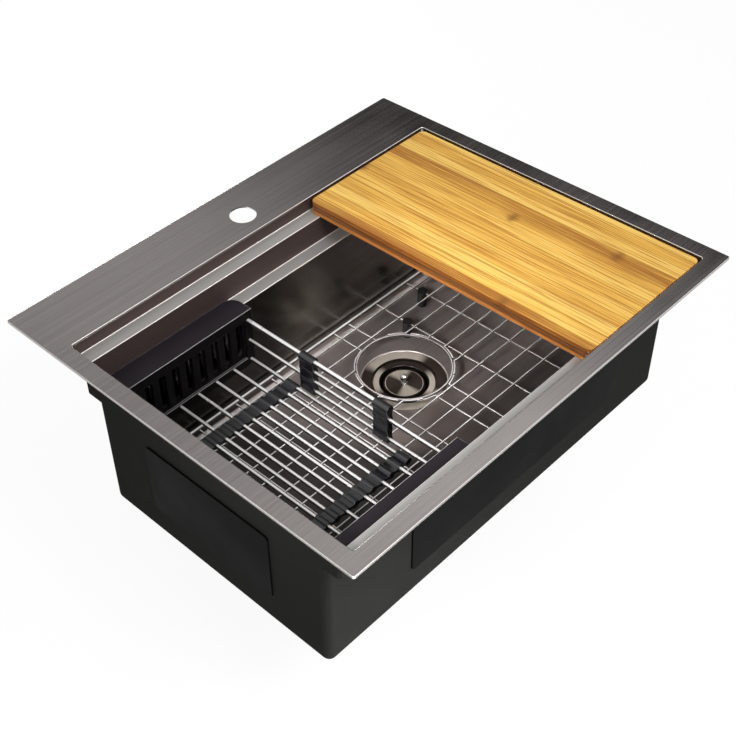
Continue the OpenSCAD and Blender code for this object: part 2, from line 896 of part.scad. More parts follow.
// An outer ply with its free edge chamfered
module edge_ply() {
    ply_shape(ply_t - board_edge, 0);
    hull() {
        translate([0, 0, ply_t - board_edge - eps])
            ply_shape(eps, 0, $fn = 32);
        translate([0, 0, ply_t - eps])
            ply_shape(eps, board_edge, $fn = 32);
    }
}

module board_top_ply() {
    color([0.88, 0.68, 0.37])
        ply(2)
            edge_ply();
}

module board_core_ply() {
    color([0.72, 0.42, 0.17])
        ply(1)
            ply_shape(ply_t, 0);
}

module board_bottom_ply() {
    color([0.86, 0.64, 0.34])
        ply(1)
            mirror([0, 0, 1])
                edge_ply();
}

// ---- Colander ----

// Places one half: the back half as it is, the front half turned round
module half(turned) {
    translate([colander_x, colander_y, 0])
        rotate([0, 0, turned ? 180 : 0])
            children();
}

module end_wall_plan(w, h, r) {
    translate([-w / 2, -h + r])
        square([w, h - r]);
    translate([-w / 2 + r, -h])
        square([w - 2 * r, h]);
    for (s = [-1, 1])
        translate([s * (w / 2 - r), r - h])
            circle(r);
}

module flange_plan() {
    square_w = colander_w - 2 * flange_r;
    translate([-colander_w / 2, 0])
        square([colander_w, flange_w - flange_r]);
    translate([-square_w / 2, 0])
        square([square_w, flange_w]);
    for (s = [-1, 1])
        translate([s * (colander_w / 2 - flange_r), flange_w - flange_r])
            circle(flange_r);
}

// Rod sockets in an end wall, and the slots between the panel's bars
module end_piece() {
    margin = 2 * rod_inset;
    panel_top = top_rod_z + 2;
    panel_bottom = floor_rod_z + rod_d;
    slot_h = panel_top - panel_bottom - 2 * panel_drop;
    difference() {
        union() {
            translate([0, wall_y, lower_z])
                linear_extrude(rail_t)
                    flange_plan();
            translate([0, wall_y + wall_t, lower_z])
                rotate([90, 0, 0])
                    linear_extrude(wall_t)
                        end_wall_plan(colander_w, wall_h, wall_r);
        }
        translate([margin - colander_w / 2, wall_y - 1, panel_bottom])
            cube([colander_w - 2 * margin, panel_drop + 1, panel_top - panel_bottom]);
        for (k = [0 : slot_count - 1])
            translate([(k - (slot_count - 1) / 2) * slot_pitch,
                       wall_y + wall_t + 1, (panel_top + panel_bottom) / 2])
                rotate([90, 0, 0])
                    linear_extrude(wall_t + 2)
                        round_rect(slot_w, slot_h, slot_w / 3);
        for (x = own_floor)
            rod_at(x, floor_rod_z, rod_r + socket_fit, wall_y - 1, wall_y + socket_l);
        rod_at(side_rod_x, side_z(0), top_rod_r + socket_fit, wall_y - 1, wall_y + socket_l);
        rod_at(side_rod_x, side_z(2), rod_r + socket_fit, wall_y - 1, wall_y + socket_l);
        for (k = [1, 3])
            rod_at(-side_rod_x, side_z(k), rod_r + socket_fit, wall_y - 1, wall_y + socket_l);
    }
}

module rod_at(x, z, r, y0, y1) {
    translate([x, y0, z])
        rotate([-90, 0, 0])
            cylinder(h = y1 - y0, r = r);
}

// Own rods of a half, without the top one
module rod_set() {
    floor_end = floor_slider_y - floor_slider_l / 2 + cap_t;
    side_end = side_slider_y - side_slider_l / 2 + cap_t;
    for (x = own_floor)
        rod_at(x, floor_rod_z, rod_r, floor_end, wall_y + socket_l);
    rod_at(side_rod_x, side_z(2), rod_r, side_end, wall_y + socket_l);
    for (k = [1, 3])
        rod_at(-side_rod_x, side_z(k), rod_r, side_end, wall_y + socket_l);
}

module top_rod() {
    side_end = side_slider_y - side_slider_l / 2 + cap_t;
    rod_at(side_rod_x, side_z(0), top_rod_r, side_end, wall_y + socket_l);
}

// Sleeves on all floor rods, joined by a web: closed sockets on the half's
// own rods, open bores for the rods of the other half
module floor_slider() {
    y0 = floor_slider_y - floor_slider_l / 2;
    y1 = y0 + floor_slider_l;
    difference() {
        union() {
            for (x = floor_x)
                rod_at(x, floor_rod_z, rod_r + sleeve_wall, y0, y1);
            translate([-side_rod_x, y0, floor_rod_z - web_t / 2])
                cube([2 * side_rod_x, floor_slider_l, web_t]);
        }
        for (x = own_floor)
            rod_at(x, floor_rod_z, rod_r + socket_fit, y0 + cap_t, y1 + 1);
        for (x = other_floor)
            rod_at(x, floor_rod_z, rod_r + slide_fit, y0 - 1, y1 + 1);
    }
}

// Sleeves on the four side rods at x: own lists the half's own ones
module side_slider(x, own) {
    y0 = side_slider_y - side_slider_l / 2;
    y1 = y0 + side_slider_l;
    top_own = x > 0;
    difference() {
        union() {
            rod_at(x, side_z(0), top_rod_r + sleeve_wall, y0, y1);
            for (k = [1 : 3])
                rod_at(x, side_z(k), rod_r + sleeve_wall, y0, y1);
            translate([x - side_web_t / 2, y0, side_z(3)])
                cube([side_web_t, side_slider_l, 3 * side_pitch]);
        }
        if (top_own)
            rod_at(x, side_z(0), top_rod_r + socket_fit, y0 + cap_t, y1 + 1);
        else
            rod_at(x, side_z(0), top_rod_r + slide_fit, y0 - 1, y1 + 1);
        for (k = [1 : 3])
            if (len(search(k, own)) > 0)
                rod_at(x, side_z(k), rod_r + socket_fit, y0 + cap_t, y1 + 1);
            else
                rod_at(x, side_z(k), rod_r + slide_fit, y0 - 1, y1 + 1);
    }
}

module side_sliders() {
    side_slider(side_rod_x, [2]);
    side_slider(-side_rod_x, [1, 3]);
}

module back_end() {
    color([0.11, 0.1, 0.13])
        half(false)
            end_piece();
}

module back_rods() {
    color([0.82, 0.82, 0.82])
        half(false)
            rod_set();
}

module back_top_rod() {
    color([0.82, 0.82, 0.82])
        half(false)
            top_rod();
}

module back_floor_slider() {
    color([0.13, 0.13, 0.16])
        half(false)
            floor_slider();
}

module back_side_sliders() {
    color([0.13, 0.13, 0.16])
        half(false)
            side_sliders();
}

module front_end() {
    color([0.11, 0.1, 0.13])
        half(true)
            end_piece();
}

module front_rods() {
    color([0.82, 0.82, 0.82])
        half(true)
            rod_set();
}

module front_top_rod() {
    color([0.82, 0.82, 0.82])
        half(true)
            top_rod();
}

module front_floor_slider() {
    color([0.13, 0.13, 0.16])
        half(true)
            floor_slider();
}

module front_side_sliders() {
    color([0.13, 0.13, 0.16])
        half(true)
            side_sliders();
}

tap_deck();
rim();
ledge_frame();
bowl_pan();
undercoat();
pad_left();
pad_right();
pad_front();
pad_back();
pad_bottom();
strainer_body();
strainer_outlet();
strainer_seal();
strainer_gasket();
strainer_friction_ring();
strainer_locknut();
tailpiece_washer();
tailpiece();
tailpiece_nut();
basket_cup();
knob_post();
stopper();
stopper_screw();
grid_frame();
grid_wires_x();
grid_wires_y();
grid_ring();
grid_feet();
board_top_ply();
board_core_ply();
board_bottom_ply();
back_end();
back_rods();
back_top_rod();
back_floor_slider();
back_side_sliders();
front_end();
front_rods();
front_top_rod();
front_floor_slider();
front_side_sliders();
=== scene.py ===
import json
import math

import bmesh
import bpy
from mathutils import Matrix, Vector


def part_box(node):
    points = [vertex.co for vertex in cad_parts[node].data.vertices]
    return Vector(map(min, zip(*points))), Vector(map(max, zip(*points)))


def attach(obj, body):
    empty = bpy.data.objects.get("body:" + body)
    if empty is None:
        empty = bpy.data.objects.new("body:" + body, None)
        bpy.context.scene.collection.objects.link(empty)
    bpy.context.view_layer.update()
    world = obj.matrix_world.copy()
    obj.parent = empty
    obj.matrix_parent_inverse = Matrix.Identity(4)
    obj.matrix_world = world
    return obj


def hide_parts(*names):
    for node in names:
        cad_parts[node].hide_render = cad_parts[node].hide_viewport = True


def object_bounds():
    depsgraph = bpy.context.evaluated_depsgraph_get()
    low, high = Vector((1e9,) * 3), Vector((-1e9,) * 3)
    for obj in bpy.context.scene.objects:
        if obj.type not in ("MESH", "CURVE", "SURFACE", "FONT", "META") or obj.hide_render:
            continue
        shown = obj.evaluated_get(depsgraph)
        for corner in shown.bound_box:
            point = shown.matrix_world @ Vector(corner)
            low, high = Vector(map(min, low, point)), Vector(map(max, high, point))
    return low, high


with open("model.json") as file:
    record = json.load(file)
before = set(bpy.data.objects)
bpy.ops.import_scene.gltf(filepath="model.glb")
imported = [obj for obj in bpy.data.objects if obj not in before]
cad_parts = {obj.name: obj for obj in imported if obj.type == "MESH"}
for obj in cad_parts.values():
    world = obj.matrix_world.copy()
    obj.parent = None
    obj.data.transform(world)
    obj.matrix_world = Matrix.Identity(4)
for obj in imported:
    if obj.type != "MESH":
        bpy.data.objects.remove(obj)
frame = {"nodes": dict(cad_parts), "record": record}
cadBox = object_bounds()
nodes = frame["nodes"]
mm = 0.001
# a face this square to an axis is flat, and turns are in degrees
flatNormal = 0.9999
sharpTurn = 40
squareTurn = 60
ringTurn = 25
print("frame loaded:", len(nodes), "nodes")


def openMesh(piece):
    bpy.ops.object.select_all(action="DESELECT")
    piece.select_set(True)
    bpy.context.view_layer.objects.active = piece
    bpy.ops.object.mode_set(mode="EDIT")
    bpy.ops.mesh.select_all(action="DESELECT")


def closeMesh():
    bpy.ops.object.mode_set(mode="OBJECT")


def pick(kind, test):
    # selects what passes the test, and says how many
    bpy.ops.mesh.select_mode(type=kind)
    bpy.ops.mesh.select_all(action="DESELECT")
    mesh = bpy.context.edit_object.data
    shape = bmesh.from_edit_mesh(mesh)
    shape.normal_update()
    found = 0
    for item in {"VERT": shape.verts, "EDGE": shape.edges, "FACE": shape.faces}[kind]:
        if test(item):
            item.select = True
            found += 1
    shape.select_flush_mode()
    bmesh.update_edit_mesh(mesh)
    return found


def middle(edge):
    return (edge.verts[0].co + edge.verts[1].co) / 2


def near(a, b, reach=0.02 * mm):
    return abs(a - b) < reach


def edgeAngle(edge):
    # degrees between the two faces, above 0 where the edge stands proud
    if len(edge.link_faces) != 2:
        return 0
    return math.degrees(edge.calc_face_angle_signed(0))


def extrudeBy(x, y, z):
    bpy.ops.mesh.extrude_region_move(TRANSFORM_OT_translate={"value": (x * mm, y * mm, z * mm)})


def rounded(width, segments):
    bpy.ops.mesh.bevel(offset=width * mm, segments=segments, affect="EDGES", clamp_overlap=False)


def resizeAbout(x, y, z, scale):
    bpy.ops.transform.resize(value=scale, center_override=(x * mm, y * mm, z * mm))


def named(name):
    # the piece just added, with its place moved into its mesh
    piece = bpy.context.object
    piece.name = name
    piece.data.name = name
    bpy.ops.object.transform_apply(location=True, rotation=True, scale=True)
    return piece


def block(name, low, high):
    # a cube primitive between two corners, in millimetres
    bpy.ops.object.select_all(action="DESELECT")
    centre = [(a + b) / 2 * mm for a, b in zip(low, high)]
    bpy.ops.mesh.primitive_cube_add(size=1, location=centre)
    bpy.context.object.scale = [(b - a) * mm for a, b in zip(low, high)]
    return named(name)


def applied(piece, kind, **settings):
    modifier = piece.modifiers.new(kind.title(), kind)
    for key, value in settings.items():
        setattr(modifier, key, value)
    bpy.ops.object.select_all(action="DESELECT")
    piece.select_set(True)
    bpy.context.view_layer.objects.active = piece
    bpy.ops.object.modifier_apply(modifier=modifier.name)


def flatAndRound(piece):
    # flat faces stay flat to the eye, and only the rounded edges turn the light
    openMesh(piece)
    pick("FACE", lambda f: max(abs(c) for c in f.normal) > flatNormal)
    bpy.ops.mesh.mod_weighted_strength(set=True, face_strength="STRONG")
    pick("FACE", lambda f: max(abs(c) for c in f.normal) <= flatNormal)
    bpy.ops.mesh.mod_weighted_strength(set=True, face_strength="WEAK")
    pick("EDGE", lambda e: abs(edgeAngle(e)) > sharpTurn)
    bpy.ops.mesh.mark_sharp()
    closeMesh()
    for face in piece.data.polygons:
        face.use_smooth = True
    applied(piece, "WEIGHTED_NORMAL", use_face_influence=True, keep_sharp=True)


# the pressed and welded steel of the sink, in millimetres
sinkShape = {
    "deckTop": 4, "deckX": 330, "deckY": 279.5, "deckCorner": 3, "hemWidth": 12,
    "openingX": 306.5, "openingFront": -257, "openingBack": 186.5, "openingCorner": 3,
    "upperLedge": -16, "midFront": -236.5, "midBack": 166, "midCorner": 3,
    "lowerLedge": -53.5, "bowlFront": -217, "bowlBack": 146.5, "bowlCorner": 8,
    "floor": -221, "tapAt": (0, 223), "tapRadius": 17.5,
    "drainAt": (88.5, 23), "seatRadius": 59, "seatDepth": 2, "drainRadius": 45,
    "band": 3, "edgeRadius": 1.1, "sheet": 1.5, "cornerParts": 6, "edgeParts": 3, "drainSides": 96,
    "tapSides": 64,
}
# square metres: of the faces at hand, only the level ones of the steps, and only the deck, are larger
stepArea = 0.1
deckArea = 0.3


def sinkSteel():
    s = sinkShape
    deepX = s["openingX"]
    wide = s["band"]
    frontY = s["openingFront"] - wide
    backY = s["openingBack"] + wide
    bpy.ops.object.select_all(action="DESELECT")
    bpy.ops.mesh.primitive_plane_add(size=1, location=(0, (frontY + backY) / 2 * mm, s["deckTop"] * mm))
    bpy.context.object.scale = (2 * (deepX + wide) * mm, (backY - frontY) * mm, 1)
    steel = named("sinkSteel")
    openMesh(steel)
    bpy.ops.mesh.select_all(action="SELECT")
    corner = (s["openingCorner"] + wide) * mm
    bpy.ops.mesh.bevel(offset=corner, segments=s["cornerParts"], affect="VERTICES")
    pick("FACE", lambda f: True)
    bpy.ops.mesh.inset(thickness=wide * mm, depth=0)
    # one step down to each ledge, cut across the bottom before the next step
    steps = (
        (s["upperLedge"] - s["deckTop"], s["midFront"], s["midBack"]),
        (s["lowerLedge"] - s["upperLedge"], s["bowlFront"], s["bowlBack"]),
        (s["floor"] - s["lowerLedge"], None, None),
    )
    level = s["deckTop"]
    for drop, nextFront, nextBack in steps:
        extrudeBy(0, 0, drop)
        level += drop
        if nextFront is None:
            continue
        for cut in (nextFront, nextBack):
            bpy.ops.mesh.bisect(plane_co=(0, cut * mm, 0), plane_no=(0, 1, 0))
            pick("FACE", lambda f: near(f.calc_center_median().z, level * mm)
                 and abs(f.normal.z) > 0.9 and f.calc_area() > stepArea)
    # upright corners, then the round foot of the bowl
    for top, low, front, back, radius in (
        (s["upperLedge"], s["lowerLedge"], s["midFront"], s["midBack"], s["midCorner"]),
        (s["lowerLedge"], s["floor"], s["bowlFront"], s["bowlBack"], s["bowlCorner"]),
    ):
        def upright(edge, top=top, low=low, front=front, back=back):
            a, b = edge.verts[0].co, edge.verts[1].co
            return (near(a.x, b.x) and near(abs(a.x), deepX * mm) and near(a.y, b.y)
                    and (near(a.y, front * mm) or near(a.y, back * mm))
                    and near(max(a.z, b.z), top * mm) and near(min(a.z, b.z), low * mm))

        def foot(edge, low=low):
            a, b = edge.verts[0].co, edge.verts[1].co
            return near(a.z, b.z) and near(a.z, s["floor"] * mm) and near(low, s["floor"])

        found = pick("EDGE", lambda e: upright(e) or foot(e))
        rounded(radius, s["cornerParts"])
        print("steel corners rounded:", found)
    pick("FACE", lambda f: True)
    bpy.ops.mesh.dissolve_limited(angle_limit=math.radians(0.3))
    # the floor opens round the drain, on a clean ring
    x, y = s["drainAt"]
    pick("FACE", lambda f: near(f.calc_center_median().z, s["floor"] * mm) and abs(f.normal.z) > 0.99)
    bpy.ops.mesh.delete(type="ONLY_FACE")
    seatBand = s["seatRadius"] + s["band"]
    bpy.ops.mesh.primitive_circle_add(vertices=s["drainSides"], radius=seatBand * mm,
                                      location=(x * mm, y * mm, s["floor"] * mm))
    pick("EDGE", lambda e: len(e.link_faces) < 2 and near(middle(e).z, s["floor"] * mm, 0.2 * mm))
    bpy.ops.mesh.fill(use_beauty=True)
    drainCentre = Vector((x * mm, y * mm))
    pick("EDGE", lambda e: len(e.link_faces) == 1
         and near((middle(e).xy - drainCentre).length, seatBand * mm, 0.3 * mm))
    reached = seatBand
    for radius, drop in ((s["seatRadius"], 0), (s["seatRadius"], -s["seatDepth"]), (s["drainRadius"], 0)):
        extrudeBy(0, 0, drop)
        resizeAbout(x, y, 0, (radius / reached, radius / reached, 1))
        reached = radius
    # the deck: its outer band, then the flat between the bands and the tap hole
    bpy.ops.mesh.select_mode(type="VERT")
    bpy.ops.mesh.primitive_plane_add(size=1, location=(0, 0, s["deckTop"] * mm))
    bpy.ops.transform.resize(value=(2 * s["deckX"] * mm, 2 * s["deckY"] * mm, 1),
                             center_override=(0, 0, s["deckTop"] * mm))
    bpy.ops.mesh.bevel(offset=s["deckCorner"] * mm, segments=s["cornerParts"], affect="VERTICES")
    pick("FACE", lambda f: f.calc_area() > deckArea)
    bpy.ops.mesh.inset(thickness=s["band"] * mm, depth=0)
    bpy.ops.mesh.delete(type="ONLY_FACE")
    tx, ty = s["tapAt"]
    bpy.ops.mesh.primitive_circle_add(vertices=s["tapSides"], radius=s["tapRadius"] * mm,
                                      location=(tx * mm, ty * mm, s["deckTop"] * mm))

    def outside(edge):
        return abs(middle(edge).x) > (s["deckX"] - 2) * mm or abs(middle(edge).y) > (s["deckY"] - 2) * mm

    pick("EDGE", lambda e: len(e.link_faces) < 2 and near(middle(e).z, s["deckTop"] * mm) and not outside(e))
    bpy.ops.mesh.fill(use_beauty=True)
    pick("EDGE", lambda e: len(e.link_faces) == 1 and outside(e))
    extrudeBy(0, 0, -s["deckTop"])
    extrudeBy(0, 0, 0)
    resizeAbout(0, 0, 0, (1 - s["hemWidth"] / s["deckX"], 1 - s["hemWidth"] / s["deckY"], 1))
    # the flats that fill made face down, and are turned over
    pick("FACE", lambda f: f.normal.z < -0.5 and f.calc_center_median().z > 1 * mm)
    bpy.ops.mesh.flip_normals()
    pick("FACE", lambda f: f.normal.z < -0.5 and f.calc_center_median().z < -200 * mm)
    bpy.ops.mesh.flip_normals()

    def jointOfLedge(edge):
        a, b = edge.verts[0].co, edge.verts[1].co
        onLedge = near(a.z, b.z) and (near(a.z, s["upperLedge"] * mm) or near(a.z, s["lowerLedge"] * mm))
        return onLedge and edgeAngle(edge) < -squareTurn

    found = pick("EDGE", lambda e: edgeAngle(e) > squareTurn or jointOfLedge(e))
    print("steel edges softened:", found)
    rounded(s["edgeRadius"], s["edgeParts"])
    closeMesh()
    applied(steel, "SOLIDIFY", thickness=s["sheet"] * mm, offset=-1, use_even_offset=False)
    openMesh(steel)
    bpy.ops.mesh.select_all(action="SELECT")
    bpy.ops.mesh.remove_doubles(threshold=0.005 * mm)
    closeMesh()
    flatAndRound(steel)
    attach(steel, "sink")
    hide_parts("tap_deck", "rim", "ledge_frame", "bowl_pan")
    return steel


steel = sinkSteel()
print("sink steel:", len(steel.data.polygons), "faces")


# the bamboo board, three plies
boardShape = {
    "corner": 8, "cornerParts": 8, "edge": 1.0, "seam": 0.6, "edgeParts": 4, "glue": 0.8,
    "sideTint": (0.85, 0.62, 0.45),
}


def boardPly(name, node, topEdge, lowEdge):
    low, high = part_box(node)
    ply = block(name, low / mm, high / mm)
    openMesh(ply)
    pick("EDGE", lambda e: abs(e.verts[0].co.z - e.verts[1].co.z) > 1 * mm)
    rounded(boardShape["corner"], boardShape["cornerParts"])
    for z, edge in ((high.z, topEdge), (low.z, lowEdge)):
        pick("EDGE", lambda e: near(e.verts[0].co.z, z) and near(e.verts[1].co.z, z)
             and edgeAngle(e) > squareTurn)
        rounded(edge, boardShape["edgeParts"])
    closeMesh()
    flatAndRound(ply)
    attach(ply, "cutting_board")
    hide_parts(node)
    return ply


topPly = boardPly("boardTopPly", "board_top_ply", boardShape["edge"], boardShape["seam"])
corePly = boardPly("boardCorePly", "board_core_ply", boardShape["seam"], boardShape["seam"])
lowPly = boardPly("boardLowPly", "board_bottom_ply", boardShape["seam"], boardShape["edge"])
plyJoints = [corner.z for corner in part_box("board_core_ply")]
print("board plies done")


# turned steel of the strainer
drainAt = sinkShape["drainAt"]
strainerShape = {
    "flangeRadius": 57.15, "flangeLow": -222.4, "flangeTop": -220.8, "flangeBand": 3, "neckRadius": 43.8,
    "neckTop": -222, "boreRadius": 42.4, "shelf": -225.6, "cupRadius": 39.5, "coneTop": -252.4,
    "outletRadius": 18.5, "outletTop": -261.4, "wall": 1.5, "collarRadius": 44.8, "collarLow": -225.5,
    "sides": 96, "soft": 0.3,
}
basketShape = {
    "rim": 42, "in": 32.5, "thick": 1, "groove": -242.6, "disc": 28.5, "discTop": -226.6, "bore": 2.8,
    "sides": 96, "soft": 0.35,
}
knobShape = {
    "ball": 11, "ballZ": -216.5, "stem": 5, "low": -246, "collar": 9, "collarThick": 1.5,
    "sides": 40, "rings": 16, "tipTurn": 0.02, "soft": 0.2,
}


def turned(name, profile, sides, soft):
    # a ring at the first point of the profile, drawn on from point to point and closed on itself
    x, y = drainAt
    bpy.ops.object.select_all(action="DESELECT")
    bpy.ops.mesh.primitive_circle_add(vertices=sides, radius=profile[0][0] * mm,
                                      location=(x * mm, y * mm, profile[0][1] * mm))
    piece = named(name)
    openMesh(piece)
    bpy.ops.mesh.select_all(action="SELECT")
    points = list(profile) + [profile[0]]
    for (radius, z), (nextRadius, nextZ) in zip(points, points[1:]):
        extrudeBy(0, 0, nextZ - z)
        scale = nextRadius / radius
        resizeAbout(x, y, nextZ, (scale, scale, 1))
    bpy.ops.mesh.select_all(action="SELECT")
    bpy.ops.mesh.remove_doubles(threshold=0.01 * mm)
    bpy.ops.mesh.select_all(action="SELECT")
    bpy.ops.mesh.normals_make_consistent(inside=False)
    pick("EDGE", lambda e: abs(edgeAngle(e)) > ringTurn and near(e.verts[0].co.z, e.verts[1].co.z))
    rounded(soft, 3)
    closeMesh()
    for face in piece.data.polygons:
        face.use_smooth = True
    applied(piece, "WEIGHTED_NORMAL", keep_sharp=True)
    return piece


def strainerBody():
    s = strainerShape
    return turned("strainerBody", (
        (s["flangeRadius"], s["flangeLow"]),
        (s["flangeRadius"], s["flangeTop"]),
        (s["flangeRadius"] - s["flangeBand"], s["flangeTop"]),
        (s["neckRadius"], s["neckTop"]),
        (s["boreRadius"], s["shelf"] + 1),
        (s["boreRadius"], s["shelf"]),
        (s["cupRadius"], s["shelf"]),
        (s["cupRadius"], s["coneTop"]),
        (s["outletRadius"], s["outletTop"]),
        (s["outletRadius"] + s["wall"], s["outletTop"] - s["wall"]),
        (s["cupRadius"] + s["wall"], s["coneTop"] - s["wall"]),
        (s["cupRadius"] + s["wall"], s["collarLow"]),
        (s["collarRadius"], s["collarLow"]),
        (s["collarRadius"], s["flangeLow"]),
    ), s["sides"], s["soft"])


def basketCup():
    s = basketShape
    t = s["thick"]
    return turned("basketCup", (
        (s["rim"], strainerShape["shelf"]),
        (s["rim"], strainerShape["shelf"] + t),
        (s["in"] + t, strainerShape["shelf"] + t),
        (s["in"], strainerShape["shelf"]),
        (s["in"], s["groove"]),
        (s["disc"] + t, s["groove"]),
        (s["disc"], s["discTop"]),
        (s["bore"], s["discTop"]),
        (s["bore"], s["discTop"] - t),
        (s["disc"] - t, s["discTop"] - t),
        (s["disc"], s["groove"] - t),
        (s["in"] + t, s["groove"] - t),
        (s["in"] + t, strainerShape["shelf"]),
    ), s["sides"], s["soft"])


def knob():
    # a disc drawn up through foot, collar and stem, and over the ball to a point
    s = knobShape
    x, y = drainAt
    stem = s["stem"] / 2
    ball = s["ball"] / 2
    collarTop = basketShape["discTop"] + s["collarThick"]
    profile = [(stem, s["low"]), (stem, basketShape["discTop"]), (s["collar"] / 2, basketShape["discTop"]),
               (s["collar"] / 2, collarTop), (stem, collarTop)]
    start = math.asin(stem / ball)
    for step in range(s["rings"] + 1):
        turn = start + (math.pi - s["tipTurn"] - start) * step / s["rings"]
        profile.append((ball * math.sin(turn), s["ballZ"] - ball * math.cos(turn)))
    bpy.ops.object.select_all(action="DESELECT")
    bpy.ops.mesh.primitive_circle_add(vertices=s["sides"], radius=stem * mm, fill_type="TRIFAN",
                                      location=(x * mm, y * mm, s["low"] * mm))
    piece = named("knobPost")
    openMesh(piece)
    bpy.ops.mesh.select_all(action="SELECT")
    for (radius, z), (nextRadius, nextZ) in zip(profile, profile[1:]):
        extrudeBy(0, 0, nextZ - z)
        scale = nextRadius / radius
        resizeAbout(x, y, nextZ, (scale, scale, 1))
    pick("EDGE", lambda e: len(e.link_faces) == 1)
    bpy.ops.mesh.edge_face_add()
    bpy.ops.mesh.select_all(action="SELECT")
    bpy.ops.mesh.normals_make_consistent(inside=False)
    pick("EDGE", lambda e: abs(edgeAngle(e)) > sharpTurn)
    rounded(s["soft"], 2)
    closeMesh()
    bpy.ops.object.shade_smooth_by_angle(angle=math.radians(50))
    return piece


body = strainerBody()
basket = basketCup()
ballKnob = knob()
for piece, node, group in ((body, "strainer_body", "sink"), (basket, "basket_cup", "basket"),
                           (ballKnob, "knob_post", "knob")):
    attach(piece, group)
    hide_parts(node)
print("strainer turned")


def softened(name, node, body, width):
    # a copy of the CAD solid, merged, with its sharp edges rounded
    piece = bpy.data.objects.new(name, nodes[node].data.copy())
    piece.data.name = name
    bpy.context.scene.collection.objects.link(piece)
    openMesh(piece)
    bpy.ops.mesh.customdata_custom_splitnormals_clear()
    bpy.ops.mesh.select_all(action="SELECT")
    bpy.ops.mesh.remove_doubles(threshold=0.002 * mm)
    bpy.ops.mesh.dissolve_limited(angle_limit=math.radians(0.5))
    found = pick("EDGE", lambda e: abs(edgeAngle(e)) > sharpTurn)
    rounded(width, 2)
    closeMesh()
    flatAndRound(piece)
    low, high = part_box(node)
    grown = max(max(abs(c) for c in (Vector(map(min, zip(*[v.co for v in piece.data.vertices]))) - low)),
                max(abs(c) for c in (Vector(map(max, zip(*[v.co for v in piece.data.vertices]))) - high)))
    print(name, "edges softened:", found, "box moved by mm:", round(grown / mm, 2))
    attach(piece, body)
    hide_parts(node)
    return piece


softSizes = {"end": 1.1, "slider": 0.5, "pad": 0.8, "foot": 0.5}
backEnd = softened("backEnd", "back_end", "colander_back", softSizes["end"])
frontEnd = softened("frontEnd", "front_end", "colander_front", softSizes["end"])
sliders = []
for half in ("back", "front"):
    for kind in ("floor_slider", "side_sliders"):
        name = half + kind.title().replace("_", "")
        sliders.append(softened(name, f"{half}_{kind}", "colander_" + half,
                                softSizes["slider"]))
feet = softened("gridFeet", "grid_feet", "grid", softSizes["foot"])
pads = [softened("pad" + side.title(), "pad_" + side, "sink", softSizes["pad"])
        for side in ("left", "right", "front", "back", "bottom")]


# shared effects, as node groups
noiseSpan = (0.3, 0.7)
effect = {
    "stroke": 3.0, "fineness": 900.0, "endFacing": 0.7, "ringFineness": 1500.0, "ringSweep": 3.0,
    "lineDetail": 3.0, "lineRough": 0.6, "edgeStart": 0.9, "edgeFull": 0.99,
    "blotchSize": 12.0, "blotchDepth": 0.3, "blotchDetail": 4.0, "fineScale": 1400.0, "fineDetail": 2.0,
}


def newGroup(name, inputs, outputs):
    group = bpy.data.node_groups.new(name, "ShaderNodeTree")
    for label, setting in inputs:
        socket = group.interface.new_socket(label, in_out="INPUT", socket_type="NodeSocketFloat")
        socket.default_value = effect[setting]
    for label in outputs:
        group.interface.new_socket(label, in_out="OUTPUT", socket_type="NodeSocketFloat")
    return group, group.nodes.new("NodeGroupInput").outputs, group.nodes.new("NodeGroupOutput").inputs


def addNode(tree, kind, settings=None, **inputs):
    # i0, i1 and so on stand for a socket's number, and other keys for its name
    node = tree.nodes.new(kind)
    for key, value in (settings or {}).items():
        setattr(node, key, value)
    for key, value in inputs.items():
        socket = node.inputs[int(key[1:])] if key[0] == "i" and key[1:].isdigit() else node.inputs[key]
        if isinstance(value, bpy.types.NodeSocket):
            tree.links.new(value, socket)
        else:
            socket.default_value = value
    return node


def math2(tree, operation, a, b=0.0):
    return addNode(tree, "ShaderNodeMath", {"operation": operation}, i0=a, i1=b).outputs[0]


def times(tree, first, *others):
    for part in others:
        first = math2(tree, "MULTIPLY", first, part)
    return first


def plus(tree, a, b):
    return math2(tree, "ADD", a, b)


def minus(tree, a, b):
    return math2(tree, "SUBTRACT", a, b)


def unsigned(tree, value):
    return math2(tree, "ABSOLUTE", value)


def between(tree, value, low, high):
    # 1 between two limits in millimetres, else 0
    above = math2(tree, "GREATER_THAN", value, low * mm)
    return times(tree, above, math2(tree, "LESS_THAN", value, high * mm))


def vector2(tree, operation, a, b=(0.0, 0.0, 0.0)):
    return addNode(tree, "ShaderNodeVectorMath", {"operation": operation}, i0=a, i1=b).outputs[0]


def mapped(tree, value, start=0.0, end=1.0, before=0.0, after=1.0, smooth=False):
    # from before to after while the value goes from start to end, and held outside
    kind = "SMOOTHSTEP" if smooth else "LINEAR"
    return addNode(tree, "ShaderNodeMapRange", {"interpolation_type": kind}, i0=value, i1=start, i2=end,
                   i3=before, i4=after).outputs[0]


def noiseAt(tree, place, scale, detail, rough=0.5):
    return addNode(tree, "ShaderNodeTexNoise", Vector=place, Scale=scale, Detail=detail,
                   Roughness=rough).outputs["Fac"]


def apart(tree, vector):
    return list(addNode(tree, "ShaderNodeSeparateXYZ", i0=vector).outputs)


def objectPlace(tree):
    return addNode(tree, "ShaderNodeTexCoord").outputs["Object"]


def surfaceNormal(tree):
    return addNode(tree, "ShaderNodeNewGeometry").outputs["Normal"]


